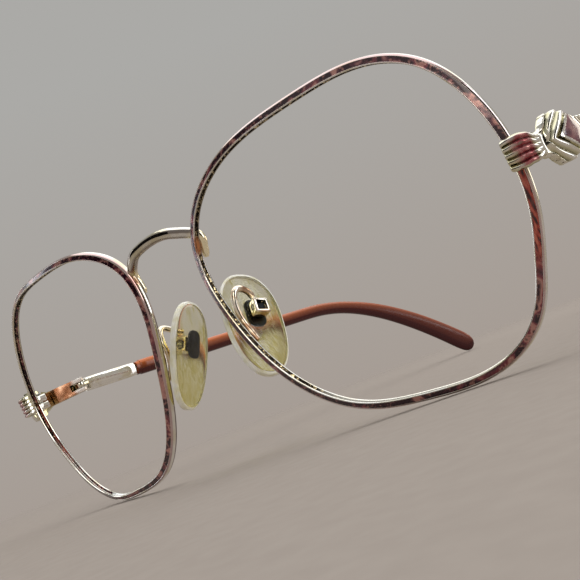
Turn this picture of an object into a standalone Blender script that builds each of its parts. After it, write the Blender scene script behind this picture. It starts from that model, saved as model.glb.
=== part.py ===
# Metal eyeglass frame with ribbed end pieces, gooseneck pad arms and sleeved temples.
# It stands as worn, on the rims and the temple tips: +Z up, temples towards +Y,
# the wearer's left at +X. Sizes are in millimetres until MM turns them into metres.
import math

import bmesh
import bpy
import numpy as np
from mathutils import Matrix, Vector

MM = 0.001

# Rims
LENS_WIDTH = 51.2
LENS_HEIGHT = 46.8
BRIDGE_WIDTH = 15.8       # between the rims' centre lines at their nearest
BASE_RADIUS = 82.6        # the lens curve that the rims follow
WRAP = 7.1                # degrees that each rim is turned round the face
RIM_WIDTH = 1.3           # across the face of the eyewire
RIM_DEPTH = 1.6           # front to back
GROOVE_DEPTH = 0.42
RIM_SLIT = 0.3
RIM_STATIONS = 72
# Half the rim's outline as shares of the lens box, from the temple side over the top:
# across (temple is +1), up
RIM_OUTLINE = [
    (0.988, 0.00), (0.90, 0.54), (0.76, 0.78), (0.55, 0.93), (0.06, 0.99), (-0.44, 0.955),
    (-0.71, 0.85), (-0.93, 0.63), (-1.00, 0.315), (-0.95, 0.00), (-0.755, -0.52),
    (-0.405, -0.88), (0.06, -0.985), (0.30, -1.00), (0.555, -0.94), (0.755, -0.765),
    (0.87, -0.515), (0.955, -0.26),
]

# Joints between pieces
CLEAR = 0.3               # between pieces that sit on each other
BORE_CLEAR = 0.2          # round a screw or pin

# Bridge
BRIDGE_RADIUS = 0.92
BRIDGE_RISE = 16.6        # height of the arch above the lens centres
BRIDGE_FORWARD = 1.95     # the arch stands this far in front of its feet
SHOULDER_IN = 2.9         # the arch's shoulder is this far inside the bend
SHOULDER_DROP = 1.1       # and this far below the arch's top
KNEE_IN = 1.65            # the knee is this far inside the rim
KNEE_DROP = 2.3
KNEE_FORWARD = 0.45
BEND_DROP = 3.7
BEND_IN = 0.2
FOOT_DROP = 6.6           # the foot ends this far below the arch's top
FOOT_OUT = 0.3
FOOT_RADIUS = 0.55

# End pieces
HINGE_HEIGHT = 1.3        # height of the end piece, hinge and rim slit
STRAP_THICKNESS = 1.0
BAND_HEIGHT = 4.5
BAND_LENGTH = 3.5
BAND_RISE = 0.5           # the band sits this much higher on the rim than the neck
BAND_RIBS = 5
RIB_HEIGHT = 0.32
NECK_HEIGHT = 2.5
NECK_AT = 4.2
END_BAR_HEIGHT = 3.3
LOZENGE_AT = 10.2         # centre of the lozenge along the strap
LOZENGE_HALF = 3.2
LOZENGE_RISE = 2.05
FAN_ARM = 3.4             # half the height of the fan between neck and lozenge
FLUTES = 5
FLUTE_ALONG = 1.45        # pitch of the flutes along the strap
FLUTE_UP = 1.0            # and across it
FLUTE_HEIGHT = 0.38
PLATE_LIFT = 0.3          # the fluted plate's valleys stand this proud of the strap
INLAY_DEPTH = 0.62
INLAY_BORDER = 0.22
INLAY_GAP = 0.15
INLAY_CROWN = 0.1

# Rim closing blocks
BLOCK_WIDTH = 2.2
BLOCK_DEPTH = 2.4
BLOCK_HEIGHT = 1.45
BLOCK_OUT = 0.35          # the block's inner face outside the rim's centre line
BLOCK_BEVEL = 0.2
RIM_SCREW = 1.0
RIM_SCREW_HEAD = 1.7
RIM_SCREW_HEAD_HEIGHT = 0.5
SCREW_SEAT = 0.12         # under a screw's head
SCREW_SLOT = 0.28
SCREW_SLOT_DEPTH = 0.22

# Hinges
HINGE_BACK = 14.8         # hinge axis behind the rim's temple point
HINGE_OUT = 3.2           # hinge axis outside the rim's temple point
BARREL_RADIUS = 1.3
HINGE_STACK = 3.3
KNUCKLE_HEIGHT = 1.1
HINGE_SCREW = 1.2
HINGE_HEAD = 1.7
HINGE_HEAD_HEIGHT = 0.42
HINGE_SINK = 0.4          # the head's counterbore in the top knuckle
HINGE_TAIL = 7.6
HINGE_SLOT = 3.6
LEAF_LENGTH = 12.4
LEAF_HEIGHT = 2.4
LEAF_THICKNESS = 0.8
LEAF_GAP = 0.2
NECK_REACH = 1.6          # the knuckle's neck reaches this far past the leaf's end
NECK_WIDTH = 1.1
LEAF_START = 0.5

# Temples
SPLAY = 11.3              # degrees that the temples close towards each other
TILT = 6.9                # degrees that they fall away from the front's square
PLATE_THICKNESS = 1.2
PLATE_HEIGHT = 3.4
PLATE_LENGTH = 14.0
CORE_WIRE = 1.4
TEMPLE_TO_BEND = 92.0
TIP_REACH = 34.8
TIP_DROP = 33.9
TIP_HOOK = 18.1
BEND_LENGTH = 15.0
SLEEVE_HEIGHT = 3.9
SLEEVE_THICKNESS = 2.9
COLLAR_LENGTH = 1.1       # the sleeve's front end is this long and this share of its section
COLLAR_SHARE = 0.88
TIP_WIDTH = 6.3
TIP_THICKNESS = 2.6
CORE_SHORT = 9.0          # the core wire ends this far before the tip

# Nose pads
PAD_LENGTH = 19.3
PAD_WIDTH = 10.8
PAD_TAPER = 0.1           # the pad's top is broader by this share
PAD_CROWN = 1.6
PAD_BACK = 0.55
PAD_INSET = 0.65          # pad centre outside the rims' nearest points
PAD_BEHIND = 6.0
PAD_BELOW = 3.3
PAD_TANG = 1.0
BOX_SIZE = 2.7
BOX_WALL = 0.45
BOX_LENGTH = 1.9
BOX_UP = 2.0
BOX_BEHIND = 0.6
BOX_BEVEL = 0.15
PAD_PIN = 0.7
PIN_CLEAR = 0.15
ARM_WIRE = 1.1
ARM_FOOT = -5.8           # height of the arm's lower end
ARM_FOOT_OUT = 0.15       # outside the rim's centre line, clear of the rocking pad
ARM_BEND = -1.5           # height where it leaves the rim
ARM_TOP = 2.9
ARM_REACH = 1.2           # the loop's top behind the bend
ARM_OUT = 0.3             # and outside it
ARM_SEAT = 0.8            # the arm ends this far forward on the box
INSERT_LENGTH = 5.0
INSERT_WIDTH = 3.4
INSERT_THICKNESS = 0.6
INSERT_LIFT = 0.35


# Scene helpers

def clear_scene():
    for item in list(bpy.data.objects):
        bpy.data.objects.remove(item, do_unlink=True)


def new_collection(name):
    made = bpy.data.collections.new(name)
    bpy.context.scene.collection.children.link(made)
    return made


def new_empty(name, place, parent=None):
    empty = bpy.data.objects.new(name, None)
    empty.empty_display_size = 5 * MM
    empty.location = place * MM
    empty.parent = parent
    PARTS.objects.link(empty)
    return empty


def new_material(name, colour, roughness, metallic, transmission=0.0):
    made = bpy.data.materials.new(name)
    made.use_nodes = True
    shader = made.node_tree.nodes["Principled BSDF"]
    shader.inputs["Base Color"].default_value = (*colour, 1)
    shader.inputs["Roughness"].default_value = roughness
    shader.inputs["Metallic"].default_value = metallic
    shader.inputs["Transmission Weight"].default_value = transmission
    made.diffuse_color = (*colour, 1)
    return made


def link_piece(piece, material):
    PARTS.objects.link(piece)
    piece.data.materials.clear()
    piece.data.materials.append(material)
    return piece


def mesh_piece(name, mesh_data, material):
    mesh = bpy.data.meshes.new(name)
    mesh_data.to_mesh(mesh)
    mesh_data.free()
    piece = bpy.data.objects.new(name, mesh)
    link_piece(piece, material)
    return piece


def baked_mesh(piece):
    bpy.context.view_layer.update()
    graph = bpy.context.evaluated_depsgraph_get()
    mesh = bpy.data.meshes.new_from_object(piece.evaluated_get(graph))
    mesh.transform(piece.matrix_world)
    return mesh


def to_mesh_piece(piece, name, material):
    mesh = baked_mesh(piece)
    solid = bmesh.new()
    solid.from_mesh(mesh)
    bmesh.ops.remove_doubles(solid, verts=solid.verts, dist=1e-6)
    bmesh.ops.recalc_face_normals(solid, faces=solid.faces)
    bpy.data.objects.remove(piece, do_unlink=True)
    return mesh_piece(name, solid, material)


def combine(target, other, operation):
    step = target.modifiers.new(operation.lower(), "BOOLEAN")
    step.operation = operation
    step.solver = "EXACT"
    step.object = other
    mesh = baked_mesh(target)
    target.modifiers.clear()
    target.data = mesh
    bpy.data.objects.remove(other, do_unlink=True)
    return target


def cut_away(target, cutter):
    return combine(target, cutter, "DIFFERENCE")


def fuse(target, other):
    return combine(target, other, "UNION")


def move_mesh(piece, shift):
    piece.data.transform(Matrix.Translation(shift * MM))
    return piece


def seat_on(piece, parent, origin=None):
    # The mesh is in the front's own frame: its origin goes to the parent's place.
    move_mesh(piece, -(origin or Vector()))
    piece.parent = parent
    return piece


def mirrored(piece, name, material, parent):
    mesh = piece.data.copy()
    mesh.transform(Matrix.Scale(-1, 4, (1, 0, 0)))
    mesh.flip_normals()
    copy = bpy.data.objects.new(name, mesh)
    link_piece(copy, material)
    copy.parent = parent
    return copy


def shade(piece, degrees=35):
    piece.data.shade_smooth()
    piece.data.set_sharp_from_angle(angle=math.radians(degrees))
    return piece


# Shape helpers

def box(name, low, high, material, bevel=0.0):
    solid = bmesh.new()
    bmesh.ops.create_cube(solid, size=1)
    size = (high - low) * MM
    middle = (high + low) / 2 * MM
    for vert in solid.verts:
        vert.co = Vector(vert.co[i] * size[i] + middle[i] for i in range(3))
    if bevel:
        bmesh.ops.bevel(solid, geom=solid.edges[:], offset=bevel * MM, segments=1, affect="EDGES")
    return mesh_piece(name, solid, material)


def rod(name, start, end, radius, material, sides=16):
    solid = bmesh.new()
    length = (end - start).length
    bmesh.ops.create_cone(solid, cap_ends=True, segments=sides, radius1=radius * MM,
                          radius2=radius * MM, depth=length * MM)
    turn = Vector((0, 0, 1)).rotation_difference(end - start).to_matrix().to_4x4()
    place = Matrix.Translation((start + end) / 2 * MM)
    bmesh.ops.transform(solid, matrix=place @ turn, verts=solid.verts)
    return mesh_piece(name, solid, material)


def turned(name, profile, place, material, steps=20):
    # Profile: (radius, height) pairs that run down the outer side.
    mesh = bpy.data.meshes.new(name)
    verts = [(r * MM, 0, h * MM) for r, h in profile]
    mesh.from_pydata(verts, [(i, i + 1) for i in range(len(verts) - 1)], [])
    piece = bpy.data.objects.new(name, mesh)
    link_piece(piece, material)
    screw = piece.modifiers.new("turn", "SCREW")
    screw.steps = steps
    screw.render_steps = steps
    screw.use_merge_vertices = True
    screw.merge_threshold = 1e-6
    return move_mesh(to_mesh_piece(piece, name, material), place)


def outline_solid(name, points, half_depth, material):
    # A flat outline in XY, extruded both ways along Z.
    curve = bpy.data.curves.new(name, "CURVE")
    curve.dimensions = "2D"
    curve.fill_mode = "BOTH"
    curve.extrude = half_depth * MM
    spline = curve.splines.new("POLY")
    spline.points.add(len(points) - 1)
    for point, (x, y) in zip(spline.points, points):
        point.co = (x * MM, y * MM, 0, 1)
    spline.use_cyclic_u = True
    piece = bpy.data.objects.new(name, curve)
    PARTS.objects.link(piece)
    return to_mesh_piece(piece, name, material)


def wire(name, points, radii, material, resolution=3):
    curve = bpy.data.curves.new(name, "CURVE")
    curve.dimensions = "3D"
    curve.bevel_depth = MM
    curve.bevel_resolution = resolution
    curve.use_fill_caps = True
    spline = curve.splines.new("POLY")
    spline.points.add(len(points) - 1)
    for point, place, radius in zip(spline.points, points, radii):
        point.co = (*(place * MM), 1)
        point.radius = radius
    piece = bpy.data.objects.new(name, curve)
    PARTS.objects.link(piece)
    return to_mesh_piece(piece, name, material)


def loft(name, rings, material):
    # Skins a list of rings with as many points each, and caps both ends.
    solid = bmesh.new()
    rows = [[solid.verts.new(point * MM) for point in ring] for ring in rings]
    count = len(rows[0])
    for row, following in zip(rows, rows[1:]):
        for i in range(count):
            j = (i + 1) % count
            solid.faces.new((row[i], row[j], following[j], following[i]))
    solid.faces.new(rows[0][::-1])
    solid.faces.new(rows[-1])
    bmesh.ops.recalc_face_normals(solid, faces=solid.faces)
    return mesh_piece(name, solid, material)


def smooth_path(points, count):
    # Natural cubic through the points by chord length, read at equal steps.
    knots = np.array([tuple(p) for p in points], float)
    steps = np.linalg.norm(np.diff(knots, axis=0), axis=1)
    at = np.concatenate([[0], np.cumsum(steps)])
    size = len(knots)
    matrix = np.zeros((size, size))
    right = np.zeros((size, knots.shape[1]))
    matrix[0, 0] = matrix[-1, -1] = 1
    for i in range(1, size - 1):
        matrix[i, i - 1:i + 2] = steps[i - 1], 2 * (steps[i - 1] + steps[i]), steps[i]
        right[i] = 6 * ((knots[i + 1] - knots[i]) / steps[i]
                        - (knots[i] - knots[i - 1]) / steps[i - 1])
    bend = np.linalg.solve(matrix, right)
    found = []
    for where in np.linspace(0, at[-1], count):
        i = min(int(np.searchsorted(at, where, side="right")) - 1, size - 2)
        a = at[i + 1] - where
        b = where - at[i]
        h = steps[i]
        found.append((bend[i] * a**3 + bend[i + 1] * b**3) / (6 * h)
                     + (knots[i] / h - bend[i] * h / 6) * a
                     + (knots[i + 1] / h - bend[i + 1] * h / 6) * b)
    return [Vector(tuple(p)) for p in found]


def path_lengths(points):
    lengths = [0.0]
    for here, there in zip(points, points[1:]):
        lengths.append(lengths[-1] + (there - here).length)
    return lengths


def along(points, distance):
    # The point and direction at a distance along a polyline, past its ends too.
    lengths = path_lengths(points)
    i = 0
    while i < len(points) - 2 and lengths[i + 1] < distance:
        i += 1
    heading = (points[i + 1] - points[i]).normalized()
    return points[i] + heading * (distance - lengths[i]), heading


def blend(pairs, where):
    # Reads a value from (place, value) pairs, straight between them.
    places = [p[0] for p in pairs]
    return float(np.interp(where, places, [p[1] for p in pairs]))


def superellipse(width, height, power, count):
    ring = []
    for i in range(count):
        angle = 2 * math.pi * (i + 0.5) / count
        c, s = math.cos(angle), math.sin(angle)
        ring.append((math.copysign(abs(c)**power, c) * width / 2,
                     math.copysign(abs(s)**power, s) * height / 2))
    return ring


# Where things are, on the left side, in the front's own frame

lens_x = BRIDGE_WIDTH / 2 + LENS_WIDTH / 2
wrap = math.radians(WRAP)


def lens_point(across, up, normal=0.0):
    # A point of the left lens surface; normal counts towards the front.
    sink = (across**2 + up**2) / (2 * BASE_RADIUS) - normal
    return Vector((lens_x + across * math.cos(wrap) - sink * math.sin(wrap),
                   across * math.sin(wrap) + sink * math.cos(wrap), up))


def rim_curve():
    # The closed outline through RIM_OUTLINE, from the slit over the top and round again.
    shape = [(a * LENS_WIDTH / 2, b * LENS_HEIGHT / 2) for a, b in RIM_OUTLINE]
    laps = smooth_path([Vector((x, y, 0)) for x, y in shape * 3], 36 * RIM_STATIONS)
    third = len(laps) // 3
    loop = laps[third - 40:2 * third + 40]
    start = min(range(80), key=lambda i: abs(loop[i].y - HINGE_HEIGHT))
    end = min(range(len(loop) - 80, len(loop)), key=lambda i: abs(loop[i].y - HINGE_HEIGHT))
    return loop[start:end + 1]


rim_loop = rim_curve()
rim_length = path_lengths(rim_loop)[-1]


def rim_at_height(up, nasal):
    # The rim's centre point at a height, on the nose or the temple side.
    side = [p for p in rim_loop if (p.x < 0) == nasal]
    found = min(side, key=lambda p: abs(p.y - up))
    return lens_point(found.x, up)


temple_point = rim_at_height(HINGE_HEIGHT, False)
hinge_axis = Vector((temple_point.x + HINGE_OUT, temple_point.y + HINGE_BACK, HINGE_HEIGHT))

# Rims

def rim_section():
    w, d, g = RIM_WIDTH / 2, RIM_DEPTH / 2, GROOVE_DEPTH
    return [(-w, -0.57 * d), (-w, -0.86 * d), (-0.83 * w, -d), (0.72 * w, -d), (w, -0.72 * d),
            (1.07 * w, 0), (w, 0.72 * d), (0.72 * w, d), (-0.83 * w, d), (-w, 0.86 * d),
            (-w, 0.57 * d), (-w + g, 0)]


def make_rim(name, material):
    section = rim_section()
    rings = []
    for i in range(RIM_STATIONS + 1):
        share = RIM_SLIT / 2 + (rim_length - RIM_SLIT) * i / RIM_STATIONS
        place, heading = along(rim_loop, share)
        outward = Vector((heading.y, -heading.x, 0))
        rings.append([lens_point(place.x + outward.x * out, place.y + outward.y * out, front)
                      for out, front in section])
    return shade(loft(name, rings, material))


# Bridge

def make_bridge(name, material):
    # Feet soldered behind the rims, then knees that come forward into the arch.
    top = BRIDGE_RISE
    behind = RIM_DEPTH / 2 + CLEAR
    foot = rim_at_height(top - FOOT_DROP, True) + Vector((FOOT_OUT, behind + FOOT_RADIUS, 0))
    bend = rim_at_height(top - BEND_DROP, True) + Vector((-BEND_IN, behind + BRIDGE_RADIUS, 0))
    knee = rim_at_height(top - KNEE_DROP, True)
    crown = Vector((0, foot.y - BRIDGE_FORWARD, top))
    knee = Vector((knee.x - KNEE_IN, bend.y - KNEE_FORWARD, knee.z))
    shoulder = Vector((bend.x - SHOULDER_IN, crown.y + 0.15, top - SHOULDER_DROP))
    arch = Vector((shoulder.x / 2, crown.y - 0.25, top - 0.25 * SHOULDER_DROP))
    half = [foot, bend, knee, shoulder, arch]
    other = [Vector((-p.x, p.y, p.z)) for p in half]
    path = smooth_path(half + [crown] + other[::-1], 41)
    lengths = path_lengths(path)
    centre = lengths[-1] / 2
    sizes = [(0, FOOT_RADIUS), (0.1, FOOT_RADIUS), (0.27, 0.95 * BRIDGE_RADIUS), (0.5, 1.08 * BRIDGE_RADIUS),
             (0.75, BRIDGE_RADIUS), (1, BRIDGE_RADIUS)]
    radii = [blend(sizes, 1 - abs(x - centre) / centre) for x in lengths]
    return shade(wire(name, path, radii, material))


# End pieces, drawn flat and then bent round the corner

def strap_path():
    # The strap's back face, from the rim's nose edge round to the hinge, in plan.
    p = temple_point
    front = p.y - RIM_DEPTH / 2 - CLEAR
    side = hinge_axis.x + BARREL_RADIUS + CLEAR
    end = hinge_axis.y + 2 * BARREL_RADIUS
    corners = [(p.x - RIM_WIDTH / 2 - 0.05, front - 0.12), (p.x + RIM_WIDTH / 2 + 0.5, front - 0.12),
               (p.x + 2.4, front + 0.6), (p.x + 3.0, front + 2.4), (side - 0.7, front + 4.7),
               (side - 0.15, front + 7.4), (side, front + 10.7), (side, end)]
    return smooth_path([Vector((x, y, 0)) for x, y in corners], 60)


strap_line = strap_path()
strap_length = path_lengths(strap_line)[-1]


def bend_on_strap(piece):
    # Flat frame: X along the strap, Y up, Z out of its face.
    rise = [(0, BAND_RISE), (0.7 * BAND_LENGTH, 0.85 * BAND_RISE), (NECK_AT, 0)]
    for vert in piece.data.vertices:
        x, y, z = vert.co / MM
        place, heading = along(strap_line, x)
        out = Vector((heading.y, -heading.x, 0))
        vert.co = (place + out * z + Vector((0, 0, HINGE_HEIGHT + y + blend(rise, x)))) * MM
    return piece


def make_strap(name, material):
    # Ribbed over the rim, then the neck, then a plain bar to the hinge.
    band = BAND_LENGTH
    neck = NECK_AT
    heights = [(0, 0.88 * BAND_HEIGHT), (0.3, 0.93 * BAND_HEIGHT), (0.35 * band, BAND_HEIGHT),
               (0.6 * band, BAND_HEIGHT), (0.85 * band, 0.9 * BAND_HEIGHT), (band, 0.78 * BAND_HEIGHT),
               (neck, NECK_HEIGHT), (neck + 1, NECK_HEIGHT), (LOZENGE_AT, END_BAR_HEIGHT),
               (strap_length, END_BAR_HEIGHT)]
    ribs = [(0, 0.5), (0.3, 1), (0.9 * band, 1), (neck, 0.3), (neck + 0.8, 0)]
    stations = [0, 0.3] + [band * i / 8 for i in range(2, 9)] + [(band + neck) / 2, neck, neck + 0.8]
    stations += [LOZENGE_AT - LOZENGE_HALF, LOZENGE_AT, LOZENGE_AT + LOZENGE_HALF, strap_length]
    per_rib = 4
    count = BAND_RIBS * per_rib
    rings = []
    for x in stations:
        half = blend(heights, x) / 2
        lift = RIB_HEIGHT * blend(ribs, x)
        ring = [Vector((x, half - 2 * half * i / count,
                        STRAP_THICKNESS + lift * abs(math.sin(math.pi * i / per_rib))))
                for i in range(count + 1)]
        ring += [Vector((x, -half, 0)), Vector((x, half, 0))]
        rings.append(ring)
    return loft(name, rings, material)


def spread_rhombus(piece):
    # A ring of radius 1 becomes the lozenge's edge, and each ring outside it keeps the flute pitch.
    for vert in piece.data.vertices:
        x, y, z = vert.co / MM
        ring = abs(x) + abs(y)
        outside = max(0.0, ring - 1)
        along_half = LOZENGE_HALF * min(ring, 1) + FLUTE_ALONG * outside
        up_half = LOZENGE_RISE * min(ring, 1) + FLUTE_UP * outside
        scale = 1 / max(ring, 1e-6)
        vert.co = Vector((x * scale * along_half + LOZENGE_AT, y * scale * up_half, z)) * MM
    return piece


def fan_outline():
    # Wide between the neck and the lozenge, then as narrow as the bar.
    reach = LOZENGE_AT - NECK_AT
    bar = END_BAR_HEIGHT / 2 - 0.02
    neck = 0.46 * NECK_HEIGHT / FAN_ARM
    end = LOZENGE_HALF + 3 * FLUTE_ALONG
    top = [(-1.0, neck), (-0.74, 0.72), (-0.67, 0.92), (-0.56, 1.0), (-0.4, 1.0), (-0.15, 0.93),
           (-0.08, 0.82), (0.1, 0.7)]
    top = [(LOZENGE_AT + x * reach, y * FAN_ARM) for x, y in top]
    top += [(LOZENGE_AT + 0.3 * reach, bar), (LOZENGE_AT + end, bar)]
    return top[::-1] + [(x, -y) for x, y in top]


def make_ornament(name, material):
    across = LOZENGE_HALF * LOZENGE_RISE / math.hypot(LOZENGE_HALF, LOZENGE_RISE)
    border = INLAY_BORDER / across
    valley = STRAP_THICKNESS + PLATE_LIFT
    top = valley + FLUTE_HEIGHT
    floor = top - INLAY_DEPTH
    back = 0.25 * STRAP_THICKNESS
    steps = 4
    profile = [(0, floor), (1 - border, floor), (1 - border, top), (0.97, top)]
    for i in range(FLUTES * steps + 1):
        profile.append((1 + i / steps, valley + FLUTE_HEIGHT * abs(math.sin(math.pi * i / steps))))
    profile += [(1 + FLUTES, back), (0, back)]
    flutes = spread_rhombus(turned(name, profile, Vector(), material, 4))
    trim = outline_solid("fan_trim", fan_outline(), 2 * FAN_ARM, material)
    return combine(flutes, trim, "INTERSECT")


def make_end_piece(name, material):
    strap = make_strap(name, material)
    fuse(strap, make_ornament("ornament", material))
    solid = bmesh.new()
    solid.from_mesh(strap.data)
    bmesh.ops.dissolve_degenerate(solid, edges=solid.edges, dist=2e-6)
    bmesh.ops.triangulate(solid, faces=solid.faces)
    solid.to_mesh(strap.data)
    solid.free()
    return shade(bend_on_strap(strap), 25)


def make_lozenge(name, material):
    across = LOZENGE_HALF * LOZENGE_RISE / math.hypot(LOZENGE_HALF, LOZENGE_RISE)
    size = 1 - (INLAY_BORDER + INLAY_GAP) / across
    high = STRAP_THICKNESS + PLATE_LIFT + FLUTE_HEIGHT
    low = high - INLAY_DEPTH + INLAY_GAP
    edge = high - INLAY_CROWN / 2
    profile = [(0, high + INLAY_CROWN), (0.55 * size, (high + INLAY_CROWN + edge) / 2 + 0.02),
               (size, edge), (size, low), (0, low)]
    piece = spread_rhombus(turned(name, profile, Vector(), material, 4))
    return bend_on_strap(piece)


# Closing blocks behind the rim's slit

def block_centre():
    p = temple_point
    behind = RIM_DEPTH / 2 + CLEAR + BLOCK_DEPTH / 2
    return Vector((p.x + BLOCK_WIDTH / 2 + BLOCK_OUT, p.y + behind, HINGE_HEIGHT))


def make_closing_block(name, material, upper):
    middle = block_centre()
    half = Vector((BLOCK_WIDTH / 2, BLOCK_DEPTH / 2, 0))
    gap = RIM_SLIT / 2
    low = gap if upper else -gap - BLOCK_HEIGHT
    start = middle - half + Vector((0, 0, low))
    end = middle + half + Vector((0, 0, low + BLOCK_HEIGHT))
    block = box(name, start, end, material, BLOCK_BEVEL)
    reach = Vector((0, 0, 2 * BLOCK_HEIGHT))
    bore = rod("bore", middle - reach, middle + reach, RIM_SCREW / 2 + BORE_CLEAR, material, 12)
    return cut_away(block, bore)


def screw_profile(shaft, head, head_height, top, bottom):
    rim = 0.12
    return [(0, top + head_height), (head - rim, top + head_height), (head, top + head_height - rim),
            (head, top), (shaft, top), (shaft, bottom + rim), (shaft - rim, bottom), (0, bottom)]


def slotted_screw(name, place, shaft, head, head_height, top, bottom, material):
    piece = turned(name, screw_profile(shaft, head, head_height, top, bottom), place, material, 16)
    reach = Vector((2 * head, SCREW_SLOT / 2, top + head_height + SCREW_SLOT_DEPTH))
    high = place + reach
    low = place + Vector((-reach.x, -reach.y, top + head_height - SCREW_SLOT_DEPTH))
    return shade(cut_away(piece, box("slot", low, high, material)))


def make_rim_screw(name, material):
    reach = RIM_SLIT / 2 + BLOCK_HEIGHT
    return slotted_screw(name, block_centre(), RIM_SCREW / 2, RIM_SCREW_HEAD / 2, RIM_SCREW_HEAD_HEIGHT,
                         reach + SCREW_SEAT, -reach, material)


# Hinges

def hull_outline(circle, radius, corners, arc=9):
    # Outline round a circle on one side and two corners on the other.
    middle = (corners[0] + corners[1]) / 2
    away = (circle - middle).normalized()
    start = math.atan2(away.y, away.x) - math.pi / 2
    points = [(circle.x + radius * math.cos(start + math.pi * i / (arc - 1)),
               circle.y + radius * math.sin(start + math.pi * i / (arc - 1))) for i in range(arc)]
    return points + [(c.x, c.y) for c in corners]


def knuckle_bore(material):
    reach = Vector((0, 0, HINGE_STACK))
    return rod("bore", hinge_axis - reach, hinge_axis + reach, HINGE_SCREW / 2 + BORE_CLEAR, material)


def make_hinge_front(name, material):
    a, r = hinge_axis, BARREL_RADIUS
    front = a.y - HINGE_TAIL
    corners = [Vector((a.x - 0.55 * r, front)), Vector((a.x + r, front + 0.25))]
    shape = hull_outline(Vector((a.x, a.y)), r, corners)
    block = outline_solid(name, shape, HINGE_STACK / 2, material)
    move_mesh(block, Vector((0, 0, HINGE_HEIGHT)))
    gap = KNUCKLE_HEIGHT / 2 + BORE_CLEAR
    slot = box("slot", Vector((a.x - 3 * r, a.y - HINGE_SLOT, HINGE_HEIGHT - gap)),
               Vector((a.x + 3 * r, a.y + 3 * r, HINGE_HEIGHT + gap)), material)
    cut_away(block, slot)
    floor = Vector((0, 0, HINGE_STACK / 2 - HINGE_SINK))
    sink = rod("sink", a + floor, a + 2 * floor + Vector((0, 0, HINGE_SINK)),
               HINGE_HEAD / 2 + PIN_CLEAR, material)
    cut_away(block, sink)
    return shade(cut_away(block, knuckle_bore(material)))


def make_hinge_screw(name, material):
    half = HINGE_STACK / 2
    return slotted_screw(name, hinge_axis, HINGE_SCREW / 2, HINGE_HEAD / 2, HINGE_HEAD_HEIGHT,
                         half - HINGE_SINK + SCREW_SEAT, -half - 0.1, material)


# Temples

splay, tilt = math.radians(SPLAY), math.radians(TILT)
temple_way = Vector((-math.sin(splay), math.cos(splay), -math.tan(tilt))).normalized()
temple_out = Vector((math.cos(splay), math.sin(splay), 0))
temple_up = temple_out.cross(temple_way)
temple_start = Vector((hinge_axis.x + BARREL_RADIUS + CLEAR + PLATE_THICKNESS / 2,
                       hinge_axis.y + 2 * BARREL_RADIUS + CLEAR, HINGE_HEIGHT - 0.35))


def temple_frame(way, out, up):
    # From (along, out, up) of the temple to the front's frame.
    return temple_start + temple_way * way + temple_out * out + temple_up * up


def temple_route():
    # Straight to the bend, then one curve down and in to the tip.
    bend = temple_start + temple_way * TEMPLE_TO_BEND
    tip = bend + Vector((-TIP_HOOK, TIP_REACH, -TIP_DROP))
    first = temple_start + temple_way * (TEMPLE_TO_BEND - BEND_LENGTH)
    fall = (tip - bend).normalized()
    last = (fall + 0.35 * (fall - temple_way)).normalized()
    near = first + temple_way * 1.55 * BEND_LENGTH
    far = tip - last * 0.42 * (tip - bend).length
    points = [temple_start + temple_way * x for x in (0, PLATE_LENGTH, 0.6 * TEMPLE_TO_BEND)]
    for i in range(17):
        t = i / 16
        points.append(first * (1 - t)**3 + near * 3 * t * (1 - t)**2 + far * 3 * t * t * (1 - t) + tip * t**3)
    return points


route = temple_route()
route_length = path_lengths(route)[-1]


def ring_on_route(distance, width, height, power, count):
    place, heading = along(route, distance)
    before = along(route, distance - 1)[1]
    after = along(route, distance + 1)[1]
    heading = (before + after).normalized()
    out = heading.cross(Vector((0, 0, 1))).normalized()
    up = out.cross(heading)
    return [place + out * x + up * y for x, y in superellipse(width, height, power, count)]


def core_stops():
    # Where the core wire and its bore take their rings, down to the wire's end.
    return list(np.linspace(PLATE_LENGTH + 6, route_length - CORE_SHORT, 24))


def make_temple(name, material):
    # The plate, then the core wire that the sleeve hides.
    plate = PLATE_LENGTH
    wire_start = plate + 0.1
    stations = [0, 0.25, plate - 0.3, plate, wire_start] + core_stops()
    widths = [(0, 0.8 * PLATE_THICKNESS), (0.25, PLATE_THICKNESS), (plate, PLATE_THICKNESS),
              (wire_start, CORE_WIRE)]
    heights = [(0, 0.92 * PLATE_HEIGHT), (0.25, PLATE_HEIGHT), (plate - 0.3, PLATE_HEIGHT),
               (plate, 0.9 * PLATE_HEIGHT), (wire_start, CORE_WIRE)]
    powers = [(0, 0.3), (plate, 0.3), (wire_start, 1)]
    rings = [ring_on_route(x, blend(widths, x), blend(heights, x), blend(powers, x), 12) for x in stations]
    return shade(loft(name, rings, material))


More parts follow.
